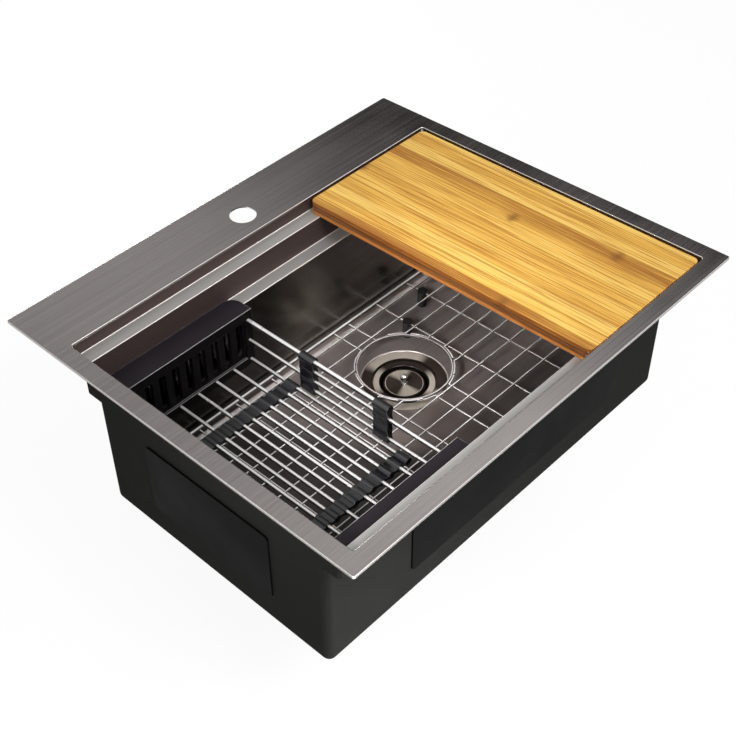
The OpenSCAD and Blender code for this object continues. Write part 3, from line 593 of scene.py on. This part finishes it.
def placeFromDrain(tree):
    # the place from the drain's axis, its turn round the axis and its distance from it
    centred = addNode(tree, "ShaderNodeMapping", i0=objectPlace(tree),
                      i1=(-drainAt[0] * mm, -drainAt[1] * mm, 0.0)).outputs[0]
    x, y = apart(tree, centred)[:2]
    radius = math2(tree, "SQRT", plus(tree, times(tree, x, x), times(tree, y, y)))
    return centred, math2(tree, "ARCTAN2", y, x), radius


def brushLinesGroup():
    # long fine strokes: along X, and along Y on faces that look along X
    group, given, result = newGroup("brushLines", (("Stroke", "stroke"), ("Fineness", "fineness")),
                                    ("Lines",))
    place = objectPlace(group)
    facing = apart(group, surfaceNormal(group))[0]
    onEnds = math2(group, "GREATER_THAN", unsigned(group, facing), effect["endFacing"])
    strokes = []
    for order in (("Stroke", "Fineness", "Fineness"), ("Fineness", "Stroke", "Fineness")):
        x, y, z = (given[label] for label in order)
        stretch = addNode(group, "ShaderNodeCombineXYZ", i0=x, i1=y, i2=z).outputs[0]
        spread = vector2(group, "MULTIPLY", place, stretch)
        strokes.append(noiseAt(group, spread, 1.0, effect["lineDetail"], effect["lineRough"]))
    mix = addNode(group, "ShaderNodeMix", {"data_type": "FLOAT"}, i0=onEnds, i2=strokes[0], i3=strokes[1])
    group.links.new(mix.outputs[0], result["Lines"])
    return group


def ringLinesGroup():
    # turned strokes round the drain's axis
    group, given, result = newGroup("ringLines", (("Fineness", "ringFineness"), ("Sweep", "ringSweep")),
                                    ("Lines",))
    centred, turn, radius = placeFromDrain(group)
    x = times(group, radius, given["Fineness"])
    y = times(group, turn, given["Sweep"])
    z = times(group, apart(group, centred)[2], given["Fineness"])
    along = addNode(group, "ShaderNodeCombineXYZ", i0=x, i1=y, i2=z).outputs[0]
    group.links.new(noiseAt(group, along, 1.0, effect["lineDetail"], effect["lineRough"]), result["Lines"])
    return group


def bentEdgeGroup():
    # 1 on rounded edges, whose normal lies between the main directions
    group, given, result = newGroup("bentEdge", (("Start", "edgeStart"), ("Full", "edgeFull")), ("Edge",))
    x, y, z = apart(group, vector2(group, "ABSOLUTE", surfaceNormal(group)))
    widest = math2(group, "MAXIMUM", math2(group, "MAXIMUM", x, y), z)
    group.links.new(mapped(group, widest, given["Start"], given["Full"], 1.0, 0.0), result["Edge"])
    return group


def blotchGroup():
    # slow, soft unevenness for dust, smears and moulded plastic
    group, given, result = newGroup("softBlotch", (("Size", "blotchSize"), ("Depth", "blotchDepth")),
                                    ("Blotch", "Fine"))
    place = objectPlace(group)
    broad = noiseAt(group, place, given["Size"], effect["blotchDetail"])
    group.links.new(mapped(group, broad, *noiseSpan, 0.0, given["Depth"]), result["Blotch"])
    group.links.new(noiseAt(group, place, effect["fineScale"], effect["fineDetail"]), result["Fine"])
    return group


brushLines = brushLinesGroup()
ringLines = ringLinesGroup()
bentEdge = bentEdgeGroup()
softBlotch = blotchGroup()
print("effects made:", len(bpy.data.node_groups))


def surface(name, **values):
    material = bpy.data.materials.new(name)
    material.use_nodes = True
    tree = material.node_tree
    shader = tree.nodes["Principled BSDF"]
    for key, value in values.items():
        shader.inputs[key].default_value = value
    return material, tree, shader


def groupNode(tree, group, **inputs):
    return addNode(tree, "ShaderNodeGroup", {"node_tree": group}, **inputs).outputs


def toned(colour, factor):
    return [min(1, factor * part) for part in colour]


def colourRamp(tree, factor, stops):
    ramp = addNode(tree, "ShaderNodeValToRGB", i0=factor)
    marks = ramp.color_ramp.elements
    while len(marks) < len(stops):
        marks.new(0.5)
    for mark, (place, colour) in zip(marks, stops):
        mark.position = place
        mark.color = (*colour, 1)
    return ramp.outputs[0]


def blend(tree, factor, a, b, mode="MIX"):
    mix = addNode(tree, "ShaderNodeMix", {"data_type": "RGBA", "blend_type": mode}, i0=factor)
    for socket, value in ((mix.inputs[6], a), (mix.inputs[7], b)):
        if isinstance(value, bpy.types.NodeSocket):
            tree.links.new(value, socket)
        else:
            socket.default_value = (*value, 1)
    return mix.outputs[2]


def roughFrom(tree, value, rough, spread, span=(0.0, 1.0)):
    # roughness a little below and above its middle, as the value goes through its span
    return mapped(tree, value, *span, rough - spread[0], rough + spread[1])


def finished(tree, shader, colour, rough):
    tree.links.new(colour, shader.inputs["Base Color"])
    tree.links.new(rough, shader.inputs["Roughness"])


def bumpFrom(tree, shader, height, strength, distance):
    bump = addNode(tree, "ShaderNodeBump", Height=height, Strength=strength, Distance=distance * mm)
    tree.links.new(bump.outputs[0], shader.inputs["Normal"])


brushed = {
    "tubeChrome": {"dark": (0.40, 0.395, 0.39), "light": (0.48, 0.47, 0.46), "rough": 0.14},
    "nutMetal": {"dark": (0.35, 0.34, 0.33), "light": (0.5, 0.49, 0.47), "rough": 0.35},
    "edgeHighlightTone": 2.2, "spread": (0.06, 0.08), "blotchRough": 0.1, "edgePolish": 0.15, "bump": 0.25,
    "bumpDeep": 0.03,
}


def brushedSteel(name):
    b = brushed
    look = b[name]
    material, tree, shader = surface(name, Metallic=1.0)
    lines = groupNode(tree, brushLines)[0]
    edge = groupNode(tree, bentEdge)[0]
    blotch = groupNode(tree, softBlotch)[0]
    colour = blend(tree, lines, look["dark"], look["light"])
    # painted highlight: the rounded edges are paler than the steel
    colour = blend(tree, edge, colour, toned(look["light"], b["edgeHighlightTone"]))
    rough = plus(tree, roughFrom(tree, lines, look["rough"], b["spread"], noiseSpan),
                 times(tree, blotch, b["blotchRough"]))
    finished(tree, shader, colour, minus(tree, rough, times(tree, edge, b["edgePolish"])))
    bumpFrom(tree, shader, lines, b["bump"], b["bumpDeep"])
    return material


# places in millimetres; a fade goes from its first level or place to its second
gunmetal = {
    "dark": (0.25, 0.222, 0.215), "light": (0.54, 0.505, 0.49), "edge": (0.98, 0.93, 0.90),
    "stepWallShade": (0.26, 0.20, 0.19), "ledge": (0.47, 0.455, 0.44), "floor": (1.35, 1.30, 1.30),
    "bowlWallShade": (0.58, 0.59, 0.56), "rough": 0.18, "ledgeRough": 0.5, "floorRough": 0.2, "edgeRough": 0.14,
    "ledgeMetal": 0.68, "wallMetal": 0.7, "floorMetal": 0.82, "leftShade": 0.2, "frontShade": 0.45,
    "leftFade": (-8, -75), "frontFade": (-40, -110), "floorFade": (-190, -215), "slant": 0.5,
    "wallShift": 30, "wallFacing": 0.5, "underLedge": 1, "underDeck": 3, "bowlUnder": 2,
    "grain": (0.75, 1.25), "spread": (0.02, 0.04), "blotchSize": 9.0, "blotchRough": 0.06, "bump": 0.07,
    "bumpDeep": 0.03,
}


def gunmetalSteel():
    # the deck's long grain, painted shade on the upright step walls, paler ledges, a coarser floor and a
    # painted highlight on the rounded edges
    g = gunmetal
    material, tree, shader = surface("gunmetalSteel", Metallic=1.0)
    lines = groupNode(tree, brushLines)[0]
    edge = groupNode(tree, bentEdge)[0]
    blotch = groupNode(tree, softBlotch, Size=g["blotchSize"], Depth=1.0)[0]
    across, along, height = apart(tree, objectPlace(tree))
    facing = apart(tree, surfaceNormal(tree))[2]
    onUpright = math2(tree, "LESS_THAN", unsigned(tree, facing), g["wallFacing"])
    onLevel = minus(tree, 1.0, onUpright)
    onSteps = between(tree, height, sinkShape["lowerLedge"] - g["underLedge"],
                      sinkShape["deckTop"] - g["underDeck"])
    onWall = times(tree, onSteps, onUpright)
    onLedge = times(tree, onSteps, onLevel)
    onFloor = mapped(tree, height, g["floorFade"][0] * mm, g["floorFade"][1] * mm)
    colour = blend(tree, lines, g["dark"], g["light"])
    colour = blend(tree, onFloor, colour, g["floor"], "MULTIPLY")
    # painted shade: the upright step walls are darkened
    colour = blend(tree, onWall, colour, g["stepWallShade"], "MULTIPLY")
    grain = blend(tree, lines, *(toned(g["ledge"], factor) for factor in g["grain"]))
    colour = blend(tree, onLedge, colour, grain)
    # painted shade darkens the bowl's walls, and a painted shadow darkens its left and its front
    inBowl = math2(tree, "LESS_THAN", height, (sinkShape["lowerLedge"] - g["bowlUnder"]) * mm)
    bowlWall = times(tree, inBowl, onUpright, minus(tree, 1.0, onFloor))
    colour = blend(tree, bowlWall, colour, g["bowlWallShade"], "MULTIPLY")
    slant = minus(tree, times(tree, along, g["slant"], onLevel), times(tree, onUpright, g["wallShift"] * mm))
    for part, fade, shade in ((plus(tree, across, slant), "leftFade", "leftShade"),
                              (along, "frontFade", "frontShade")):
        shaded = mapped(tree, part, g[fade][0] * mm, g[fade][1] * mm, smooth=True)
        colour = blend(tree, times(tree, shaded, inBowl), colour, [g[shade]] * 3, "MULTIPLY")
    # painted highlight: the rounded edges are near white
    colour = blend(tree, edge, colour, g["edge"])
    metal = mapped(tree, onLedge, before=1.0, after=g["ledgeMetal"])
    metal = minus(tree, metal, times(tree, onFloor, 1 - g["floorMetal"]))
    metal = minus(tree, metal, times(tree, onWall, 1 - g["wallMetal"]))
    tree.links.new(metal, shader.inputs["Metallic"])
    rough = roughFrom(tree, lines, g["rough"], g["spread"], noiseSpan)
    for mask, more in ((blotch, g["blotchRough"]), (onFloor, g["floorRough"]),
                       (math2(tree, "MAXIMUM", onLedge, onWall), g["ledgeRough"] - g["rough"]),
                       (edge, g["edgeRough"])):
        rough = plus(tree, rough, times(tree, mask, more))
    finished(tree, shader, colour, rough)
    bumpFrom(tree, shader, lines, times(tree, minus(tree, 1.0, edge), g["bump"]), g["bumpDeep"])
    return material


# radii in millimetres, and turns in degrees
nickel = {
    "dark": (0.86, 0.75, 0.64), "light": (1.0, 0.91, 0.80), "shade": (0.075, 0.057, 0.048), "deepest": 0.25,
    "metal": 0.65, "stretched": 0.8, "rough": 0.3, "spread": (0.05, 0.08), "blotchSize": 60.0,
    "blotchRough": 0.06, "fanTurn": 58, "rimTurn": 70, "fanFrom": 0.7, "fanFull": 0.97, "flangeFrom": 0.15,
    "flangeFull": 0.17, "grooveIn": 2.6, "grooveOut": 1.6, "gapIn": 0.1, "gapRadius": 44.4,
    "discEdgeHighlight": 0.7, "bump": 0.5, "bumpDeep": 0.05,
}


def turnedNickel():
    # brushed on the lathe; the two fans of light across the drain are painted highlights in the colour,
    # beside the real anisotropic shine
    n = nickel
    material, tree, shader = surface("turnedNickel", Metallic=n["metal"], Anisotropic=n["stretched"])
    lines = groupNode(tree, ringLines)[0]
    blotch = groupNode(tree, softBlotch, Size=n["blotchSize"], Depth=1.0)[0]
    centred, turn, radius = placeFromDrain(tree)
    onFlange = math2(tree, "GREATER_THAN", radius, strainerShape["neckRadius"] * mm)
    onRim = minus(tree, math2(tree, "GREATER_THAN", radius, basketShape["in"] * mm), onFlange)
    turn = minus(tree, turn, times(tree, onRim, math.radians(n["rimTurn"])))
    swing = unsigned(tree, math2(tree, "COSINE", minus(tree, turn, math.radians(n["fanTurn"]))))
    start = minus(tree, n["fanFrom"], times(tree, onFlange, n["flangeFrom"]))
    full = minus(tree, n["fanFull"], times(tree, onFlange, n["flangeFull"]))
    paintedFans = mapped(tree, swing, start, full, smooth=True)
    colour = blend(tree, paintedFans, n["shade"], blend(tree, lines, n["dark"], n["light"]))
    # painted shade darkens the groove round the disc and the gap round the basket's rim, and a painted
    # highlight brightens a thin ring near the disc's edge
    deepest = toned(n["shade"], n["deepest"])
    groove = basketShape["disc"] - n["grooveIn"]
    for low, high, tone in (
        (groove, basketShape["in"] + n["grooveOut"], deepest),
        (basketShape["rim"] + n["gapIn"], n["gapRadius"], deepest),
        (groove - n["discEdgeHighlight"], groove, n["light"]),
    ):
        colour = blend(tree, between(tree, radius, low, high), colour, tone)
    rough = roughFrom(tree, lines, n["rough"], n["spread"], noiseSpan)
    finished(tree, shader, colour, plus(tree, rough, times(tree, blotch, n["blotchRough"])))
    stroke = vector2(tree, "NORMALIZE", vector2(tree, "CROSS_PRODUCT", (0.0, 0.0, 1.0), centred))
    tree.links.new(stroke, shader.inputs["Tangent"])
    bumpFrom(tree, shader, lines, n["bump"], n["bumpDeep"])
    return material


wireLooks = {
    "polishedWire": {"colour": (1.0, 0.97, 0.96), "flankShade": (0.08, 0.07, 0.07), "rough": 0.3, "metal": 0.2,
                     "start": 0.6, "full": 0.94},
    "ringWire": {"colour": (0.85, 0.78, 0.76), "flankShade": (0.07, 0.06, 0.06), "rough": 0.3, "metal": 0.3,
                 "start": 0.75, "full": 0.97},
    "rodSteel": {"colour": (1.0, 0.98, 0.96), "flankShade": (0.05, 0.045, 0.045), "rough": 0.24, "metal": 0.6,
                 "start": 0.45, "full": 0.9},
    "knobSteel": {"colour": (0.92, 0.90, 0.88), "flankShade": (0.05, 0.045, 0.04), "rough": 0.2, "metal": 0.8,
                  "start": 0.1, "full": 0.75},
}
wireHaze = {"tone": 0.92, "size": 30.0, "spread": (0.03, 0.05)}


def drawnWire(name, colour, flankShade, rough, metal, start, full):
    # round wire and rod: a painted highlight along the top, painted shade down the flanks
    material, tree, shader = surface(name, Metallic=metal)
    blotch = groupNode(tree, softBlotch, Size=wireHaze["size"], Depth=1.0)[0]
    upper = mapped(tree, apart(tree, surfaceNormal(tree))[2], start, full, smooth=True)
    hazy = blend(tree, blotch, toned(colour, wireHaze["tone"]), colour)
    finished(tree, shader, blend(tree, upper, flankShade, hazy),
             roughFrom(tree, blotch, rough, wireHaze["spread"]))
    return material


# levels in millimetres: the lip's foot on the ends, above which their edges take a painted highlight, and
# the band at the foot of their panel, where a painted highlight line runs
endLip = -51.5
endBand = {"foot": 13, "low": 1.4, "high": 0.4}
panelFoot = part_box("back_end")[0].z / mm + endBand["foot"]
mouldedLooks = {
    "undercoatSpray": {"colour": (0.012, 0.012, 0.011), "rough": 0.8, "grain": 0.5, "size": 40.0,
                       "gloss": 0.05},
    "padRubber": {"colour": (0.002, 0.002, 0.002), "rough": 0.5, "grain": 0.25, "gloss": 0.03},
    "endPlastic": {"colour": (0.0105, 0.008, 0.011), "rough": 0.42, "grain": 0.15, "gloss": 0.25,
                   "edgeHighlight": 75.0, "above": endLip},
    # a darker, duller copy of the end plastic for the ends' sides: painted shade
    "endSidesShaded": {"colour": (0.003, 0.0025, 0.003), "rough": 0.5, "grain": 0.15, "gloss": 0.06,
                 "edgeHighlight": 60.0, "above": panelFoot - endBand["low"], "below": panelFoot + endBand["high"]},
    "sliderPlastic": {"colour": (0.0025, 0.0025, 0.004), "rough": 0.17, "grain": 0.06, "gloss": 0.7,
                      "edgeHighlight": 9.0},
    "blackRubber": {"colour": (0.01, 0.01, 0.01), "rough": 0.6, "grain": 0.3},
    "sealFoam": {"colour": (0.05, 0.05, 0.05), "rough": 0.8, "grain": 0.6},
    "whitePlastic": {"colour": (0.6, 0.6, 0.58), "rough": 0.45, "grain": 0.1},
}
mouldedMarks = {"paler": 1.35, "spread": (0.05, 0.08), "bumpDeep": 0.15}


def moulded(name, colour, rough, grain, size=12.0, gloss=0.4, edgeHighlight=1.0, above=None, below=None):
    # a painted highlight makes the rounded edges paler, and only above or below a level where one is given
    material, tree, shader = surface(name, **{"Specular IOR Level": gloss})
    blotch, fine = groupNode(tree, softBlotch, Size=size, Depth=1.0)
    edge = groupNode(tree, bentEdge)[0]
    for level, side in ((above, "GREATER_THAN"), (below, "LESS_THAN")):
        if level is not None:
            edge = times(tree, edge, math2(tree, side, apart(tree, objectPlace(tree))[2], level * mm))
    shade = blend(tree, blotch, colour, toned(colour, mouldedMarks["paler"]))
    shade = blend(tree, edge, shade, [min(1, edgeHighlight * sum(colour) / 3)] * 3)
    finished(tree, shader, shade, roughFrom(tree, blotch, rough, mouldedMarks["spread"]))
    bumpFrom(tree, shader, fine, grain, mouldedMarks["bumpDeep"])
    return material


bambooLooks = {
    "bambooFace": {"pale": (0.72, 0.40, 0.065), "deep": (0.32, 0.12, 0.014), "seed": 1, "wide": 20.0},
    "bambooCore": {"pale": (0.42, 0.20, 0.06), "deep": (0.16, 0.06, 0.015), "seed": 5, "wide": 9.0},
    "bambooLow": {"pale": (0.66, 0.32, 0.07), "deep": (0.34, 0.12, 0.02), "seed": 9, "wide": 20.0},
}
# each grain has a stretch and a detail; shares are those of the grains, and stops those of the ramp
strips = {
    "shift": (0.0071, 0.013, 0.002), "nudge": 40.0, "noiseRough": 0.6, "toneShare": 0.3,
    "grains": (((1500.0, 14.0, 1500.0), 2.0), ((560.0, 8.0, 560.0), 2.0), ((70.0, 3.0, 70.0), 3.0)),
    "shares": (0.45, 0.45, 0.5), "stops": (0.66, 0.78, 0.875, 1.0), "half": 0.6, "paler": (1.12, 1.3, 1.9),
    "crispFade": (0.47, 0.4), "crisp": 0.6, "crispTone": 1.15, "seamWide": 0.03, "seam": 0.35,
    "seamTone": 0.5, "sideFacing": 0.6, "glueTone": 0.2, "rough": (0.42, 0.62), "bump": 0.3,
    "bumpDeep": 0.12,
}
knuckles = {
    "every": 240, "step": 9.0, "chance": 0.74, "digit": 10.0, "spot": (0.25, 0.75), "long": 14.0,
    "wide": 0.6, "ragged": 0.8, "fade": (1.1, 0.35), "tone": 0.65,
}


def bamboo(name, pale, deep, seed, wide):
    # glued strips along Y, each with its own tone, streaky fibres and a few dark knuckles
    s, k = strips, knuckles
    material, tree, shader = surface(name)
    place = objectPlace(tree)
    shift = [seed * part for part in s["shift"]]
    shifted = addNode(tree, "ShaderNodeMapping", i0=place, i1=shift).outputs[0]
    x, y = apart(tree, shifted)[:2]
    across = math2(tree, "DIVIDE", x, wide * mm)
    strip = math2(tree, "FLOOR", across)
    within = math2(tree, "FRACT", across)
    tone = addNode(tree, "ShaderNodeTexWhiteNoise", {"noise_dimensions": "1D"}, W=strip).outputs["Value"]
    nudge = addNode(tree, "ShaderNodeCombineXYZ", i1=times(tree, tone, s["nudge"])).outputs[0]
    mixed = times(tree, tone, s["toneShare"])
    grains = []
    for (stretch, detail), share in zip(s["grains"], s["shares"]):
        moved = vector2(tree, "ADD", vector2(tree, "MULTIPLY", shifted, stretch), nudge)
        grains.append(noiseAt(tree, moved, 1.0, detail, s["noiseRough"]))
        mixed = plus(tree, mixed, times(tree, grains[-1], share))
    fine, fibre = grains[:2]
    half = [s["half"] * a + (1 - s["half"]) * b for a, b in zip(pale, deep)]
    paler = [min(1, a * b) for a, b in zip(pale, s["paler"])]
    colour = colourRamp(tree, mixed, list(zip(s["stops"], (deep, half, pale, paler))))
    crisp = mapped(tree, fibre, *s["crispFade"], 0.0, s["crisp"])
    colour = blend(tree, crisp, colour, toned(deep, s["crispTone"]))
    # knuckles: a dark node across a strip now and then, by chance in its own cell
    along = plus(tree, math2(tree, "DIVIDE", y, k["every"] * mm), times(tree, tone, k["step"]))
    cell = addNode(tree, "ShaderNodeCombineXYZ", i0=strip, i1=math2(tree, "FLOOR", along)).outputs[0]
    chance = addNode(tree, "ShaderNodeTexWhiteNoise", {"noise_dimensions": "2D"},
                     Vector=cell).outputs["Value"]
    some = math2(tree, "GREATER_THAN", chance, k["chance"])
    spot = mapped(tree, math2(tree, "FRACT", times(tree, chance, k["digit"])), 0.0, 1.0, *k["spot"])
    reach = unsigned(tree, minus(tree, math2(tree, "FRACT", along), spot))
    inside = unsigned(tree, minus(tree, within, 0.5))
    blob = plus(tree, times(tree, reach, k["long"]), times(tree, inside, k["wide"]))
    blob = plus(tree, blob, times(tree, fine, k["ragged"]))
    colour = blend(tree, times(tree, mapped(tree, blob, *k["fade"]), some), colour, toned(deep, k["tone"]))
    # the thin glue line between strips
    seam = math2(tree, "LESS_THAN", math2(tree, "MINIMUM", within, minus(tree, 1.0, within)), s["seamWide"])
    colour = blend(tree, times(tree, seam, s["seam"]), colour, toned(deep, s["seamTone"]))
    # the sides are a redder brown, with a dark glue line where two plies meet
    facing = apart(tree, surfaceNormal(tree))[2]
    onSide = math2(tree, "LESS_THAN", unsigned(tree, facing), s["sideFacing"])
    colour = blend(tree, onSide, colour, boardShape["sideTint"], "MULTIPLY")
    level = apart(tree, place)[2]
    for joint in plyJoints:
        gap = unsigned(tree, minus(tree, level, joint))
        glue = math2(tree, "LESS_THAN", gap, boardShape["glue"] * mm)
        colour = blend(tree, times(tree, glue, onSide), colour, toned(deep, s["glueTone"]))
    finished(tree, shader, colour, mapped(tree, fibre, 0.0, 1.0, *s["rough"]))
    bumpFrom(tree, shader, fibre, s["bump"], s["bumpDeep"])
    return material


darkSteel = gunmetalSteel()
wires = {name: drawnWire(name, **look) for name, look in wireLooks.items()}
strainerSteel = turnedNickel()
chrome = brushedSteel("tubeChrome")
nutMetal = brushedSteel("nutMetal")
plastics = {name: moulded(name, **look) for name, look in mouldedLooks.items()}
bamboos = {name: bamboo(name, **look) for name, look in bambooLooks.items()}
slotMaterials = {
    "bowl_steel": darkSteel, "undercoat": plastics["undercoatSpray"], "pad_rubber": plastics["padRubber"],
    "strainer_steel": strainerSteel, "seal_foam": plastics["sealFoam"],
    "black_rubber": plastics["blackRubber"], "slip_ring": plastics["whitePlastic"], "nut_metal": nutMetal,
    "washer_plastic": plastics["whitePlastic"], "tube_chrome": chrome, "wire_steel": wires["polishedWire"],
    "bamboo_face": bamboos["bambooFace"], "bamboo_core": bamboos["bambooCore"],
    "end_plastic": plastics["endPlastic"], "slider_plastic": plastics["sliderPlastic"],
    "rod_steel": wires["rodSteel"],
}
nodeSlots = {part["node"]: part["material_slot"] for part in frame["record"]["subparts"]}
print("materials made:", len(bpy.data.materials))


def dress(piece, material):
    piece.data.materials.clear()
    piece.data.materials.append(material)


for name, node in nodes.items():
    dress(node, slotMaterials[nodeSlots[name]])
for piece, material in (
    (nodes["grid_ring"], wires["ringWire"]), (steel, darkSteel), (topPly, bamboos["bambooFace"]),
    (corePly, bamboos["bambooCore"]), (lowPly, bamboos["bambooLow"]), (body, strainerSteel),
    (basket, strainerSteel), (ballKnob, wires["knobSteel"]), (feet, plastics["blackRubber"]),
    *((slider, plastics["sliderPlastic"]) for slider in sliders),
    *((pad, plastics["padRubber"]) for pad in pads),
):
    dress(piece, material)
# the ends' sides below the lip take the darker copy of their plastic, a painted shade
for piece in (backEnd, frontEnd):
    dress(piece, plastics["endPlastic"])
    piece.data.materials.append(plastics["endSidesShaded"])
    for face in piece.data.polygons:
        face.material_index = 1 if face.center.z < endLip * mm else 0
print("pieces dressed")


# each panel fades from start to end, and from the third value to the fourth
studio = {
    "floorSize": 30, "floorDrop": 1, "floorTone": 0.5, "floorRough": 0.9, "floorGlow": 0.9, "upper": 0.95,
    "horizon": 0.03, "panelLeft": (0.45, 0.8, 0.85, 1.25), "panelRight": (0.88, 1.1, 1.0, 0.0),
    "panelBack": (0.45, 0.8, 1.0, 0.5), "panelLow": (0.1, 0.45, 0.1, 1.0),
    "panelFront": (-1.1, -1.7, 0.0, 0.5),
}


def floorSheet():
    bpy.ops.object.select_all(action="DESELECT")
    bpy.ops.mesh.primitive_plane_add(size=studio["floorSize"],
                                     location=(0, 0, cadBox[0][2] - studio["floorDrop"] * mm))
    sheet = named("floorSheet")
    material, tree, shader = surface("floorPaper", Roughness=studio["floorRough"])
    path = addNode(tree, "ShaderNodeLightPath")
    seen = math2(tree, "MAXIMUM", path.outputs["Is Camera Ray"], path.outputs["Is Glossy Ray"])
    seen = math2(tree, "MAXIMUM", seen, path.outputs["Is Transmission Ray"])
    tree.links.new(blend(tree, seen, [studio["floorTone"]] * 3, (1, 1, 1)), shader.inputs["Base Color"])
    glow = addNode(tree, "ShaderNodeEmission", Strength=1.0)
    share = times(tree, seen, studio["floorGlow"])
    paper = addNode(tree, "ShaderNodeMixShader", i0=share, i1=shader.outputs[0], i2=glow.outputs[0])
    # the sheet is clear from below, so that the underside can be looked at
    clear = addNode(tree, "ShaderNodeBsdfTransparent")
    below = addNode(tree, "ShaderNodeNewGeometry").outputs["Backfacing"]
    sides = addNode(tree, "ShaderNodeMixShader", i0=below, i1=paper.outputs[0], i2=clear.outputs[0])
    tree.links.new(sides.outputs[0], tree.nodes["Material Output"].inputs["Surface"])
    dress(sheet, material)


def studioWorld():
    world = bpy.data.worlds.new("studioWorld")
    world.use_nodes = True
    bpy.context.scene.world = world
    tree = world.node_tree
    background = tree.nodes["Background"]
    background.inputs["Color"].default_value = (1, 1, 1, 1)
    right, back, height = apart(tree, addNode(tree, "ShaderNodeTexCoord").outputs["Generated"])
    level = math2(tree, "MAXIMUM", height, studio["horizon"])
    right = math2(tree, "DIVIDE", right, level)
    back = math2(tree, "DIVIDE", back, level)
    # an overhead panel that ends to the right and is dimmer towards the back, and one in front of it
    fades = [mapped(tree, value, *studio[side], smooth=True) for value, side in (
        (right, "panelLeft"), (right, "panelRight"), (back, "panelBack"), (height, "panelLow"),
        (back, "panelFront"))]
    panel = math2(tree, "MAXIMUM", times(tree, *fades[:4]), fades[4])
    tree.links.new(times(tree, panel, studio["upper"]), background.inputs["Strength"])
    path = addNode(tree, "ShaderNodeLightPath")
    white = addNode(tree, "ShaderNodeBackground", Color=(1, 1, 1, 1), Strength=1.0)
    mix = addNode(tree, "ShaderNodeMixShader", i0=path.outputs["Is Camera Ray"], i1=background.outputs[0],
                  i2=white.outputs[0])
    tree.links.new(mix.outputs[0], tree.nodes["World Output"].inputs["Surface"])


# metres and watts
lamps = {
    "keyLamp": {"place": (-0.25, -1.45, 1.55), "target": (0, 0, -0.1), "size": (0.6, 0.5), "power": 26},
    "leftLamp": {"place": (-0.95, -0.3, 0.72), "target": (0.1, -0.02, -0.2), "size": (0.2, 0.2),
                 "power": 0.5, "spread": 26},
    "backLamp": {"place": (0.5, 1.7, 0.25), "target": (0, 0.1, -0.15), "size": (0.8, 0.4), "power": 9},
    "frontLamp": {"place": (-0.33, -0.6, -0.3), "target": (-0.33, -0.22, -0.27), "size": (0.35, 0.2),
                  "power": 3.2},
}


def softLamp(name, place, target, size, power, spread=180):
    lamp = bpy.data.lights.new(name, "AREA")
    lamp.shape = "RECTANGLE"
    lamp.size, lamp.size_y = size
    lamp.energy = power
    lamp.spread = math.radians(spread)
    holder = bpy.data.objects.new(name, lamp)
    bpy.context.scene.collection.objects.link(holder)
    holder.location = place
    holder.rotation_euler = (Vector(target) - Vector(place)).to_track_quat("-Z", "Y").to_euler()


floorSheet()
studioWorld()
for name, lamp in lamps.items():
    softLamp(name, **lamp)

photoView = {
    "lens": 62.665, "sensor": 36, "shift": (0.09448, 0.02222), "place": (-0.87134, -0.80464, 0.96554),
    "turn": (46.7381, 2.5130, -45.1181), "reach": 100,
}
cameraData = bpy.data.cameras.new("photoCamera")
cameraData.lens = photoView["lens"]
cameraData.sensor_width = photoView["sensor"]
cameraData.shift_x, cameraData.shift_y = photoView["shift"]
cameraData.clip_end = photoView["reach"]
camera = bpy.data.objects.new("photoCamera", cameraData)
bpy.context.scene.collection.objects.link(camera)
camera.location = photoView["place"]
camera.rotation_euler = [math.radians(turn) for turn in photoView["turn"]]
bpy.context.scene.camera = camera
bpy.context.scene.view_settings.view_transform = "Standard"
print("floor, lamps and camera set")
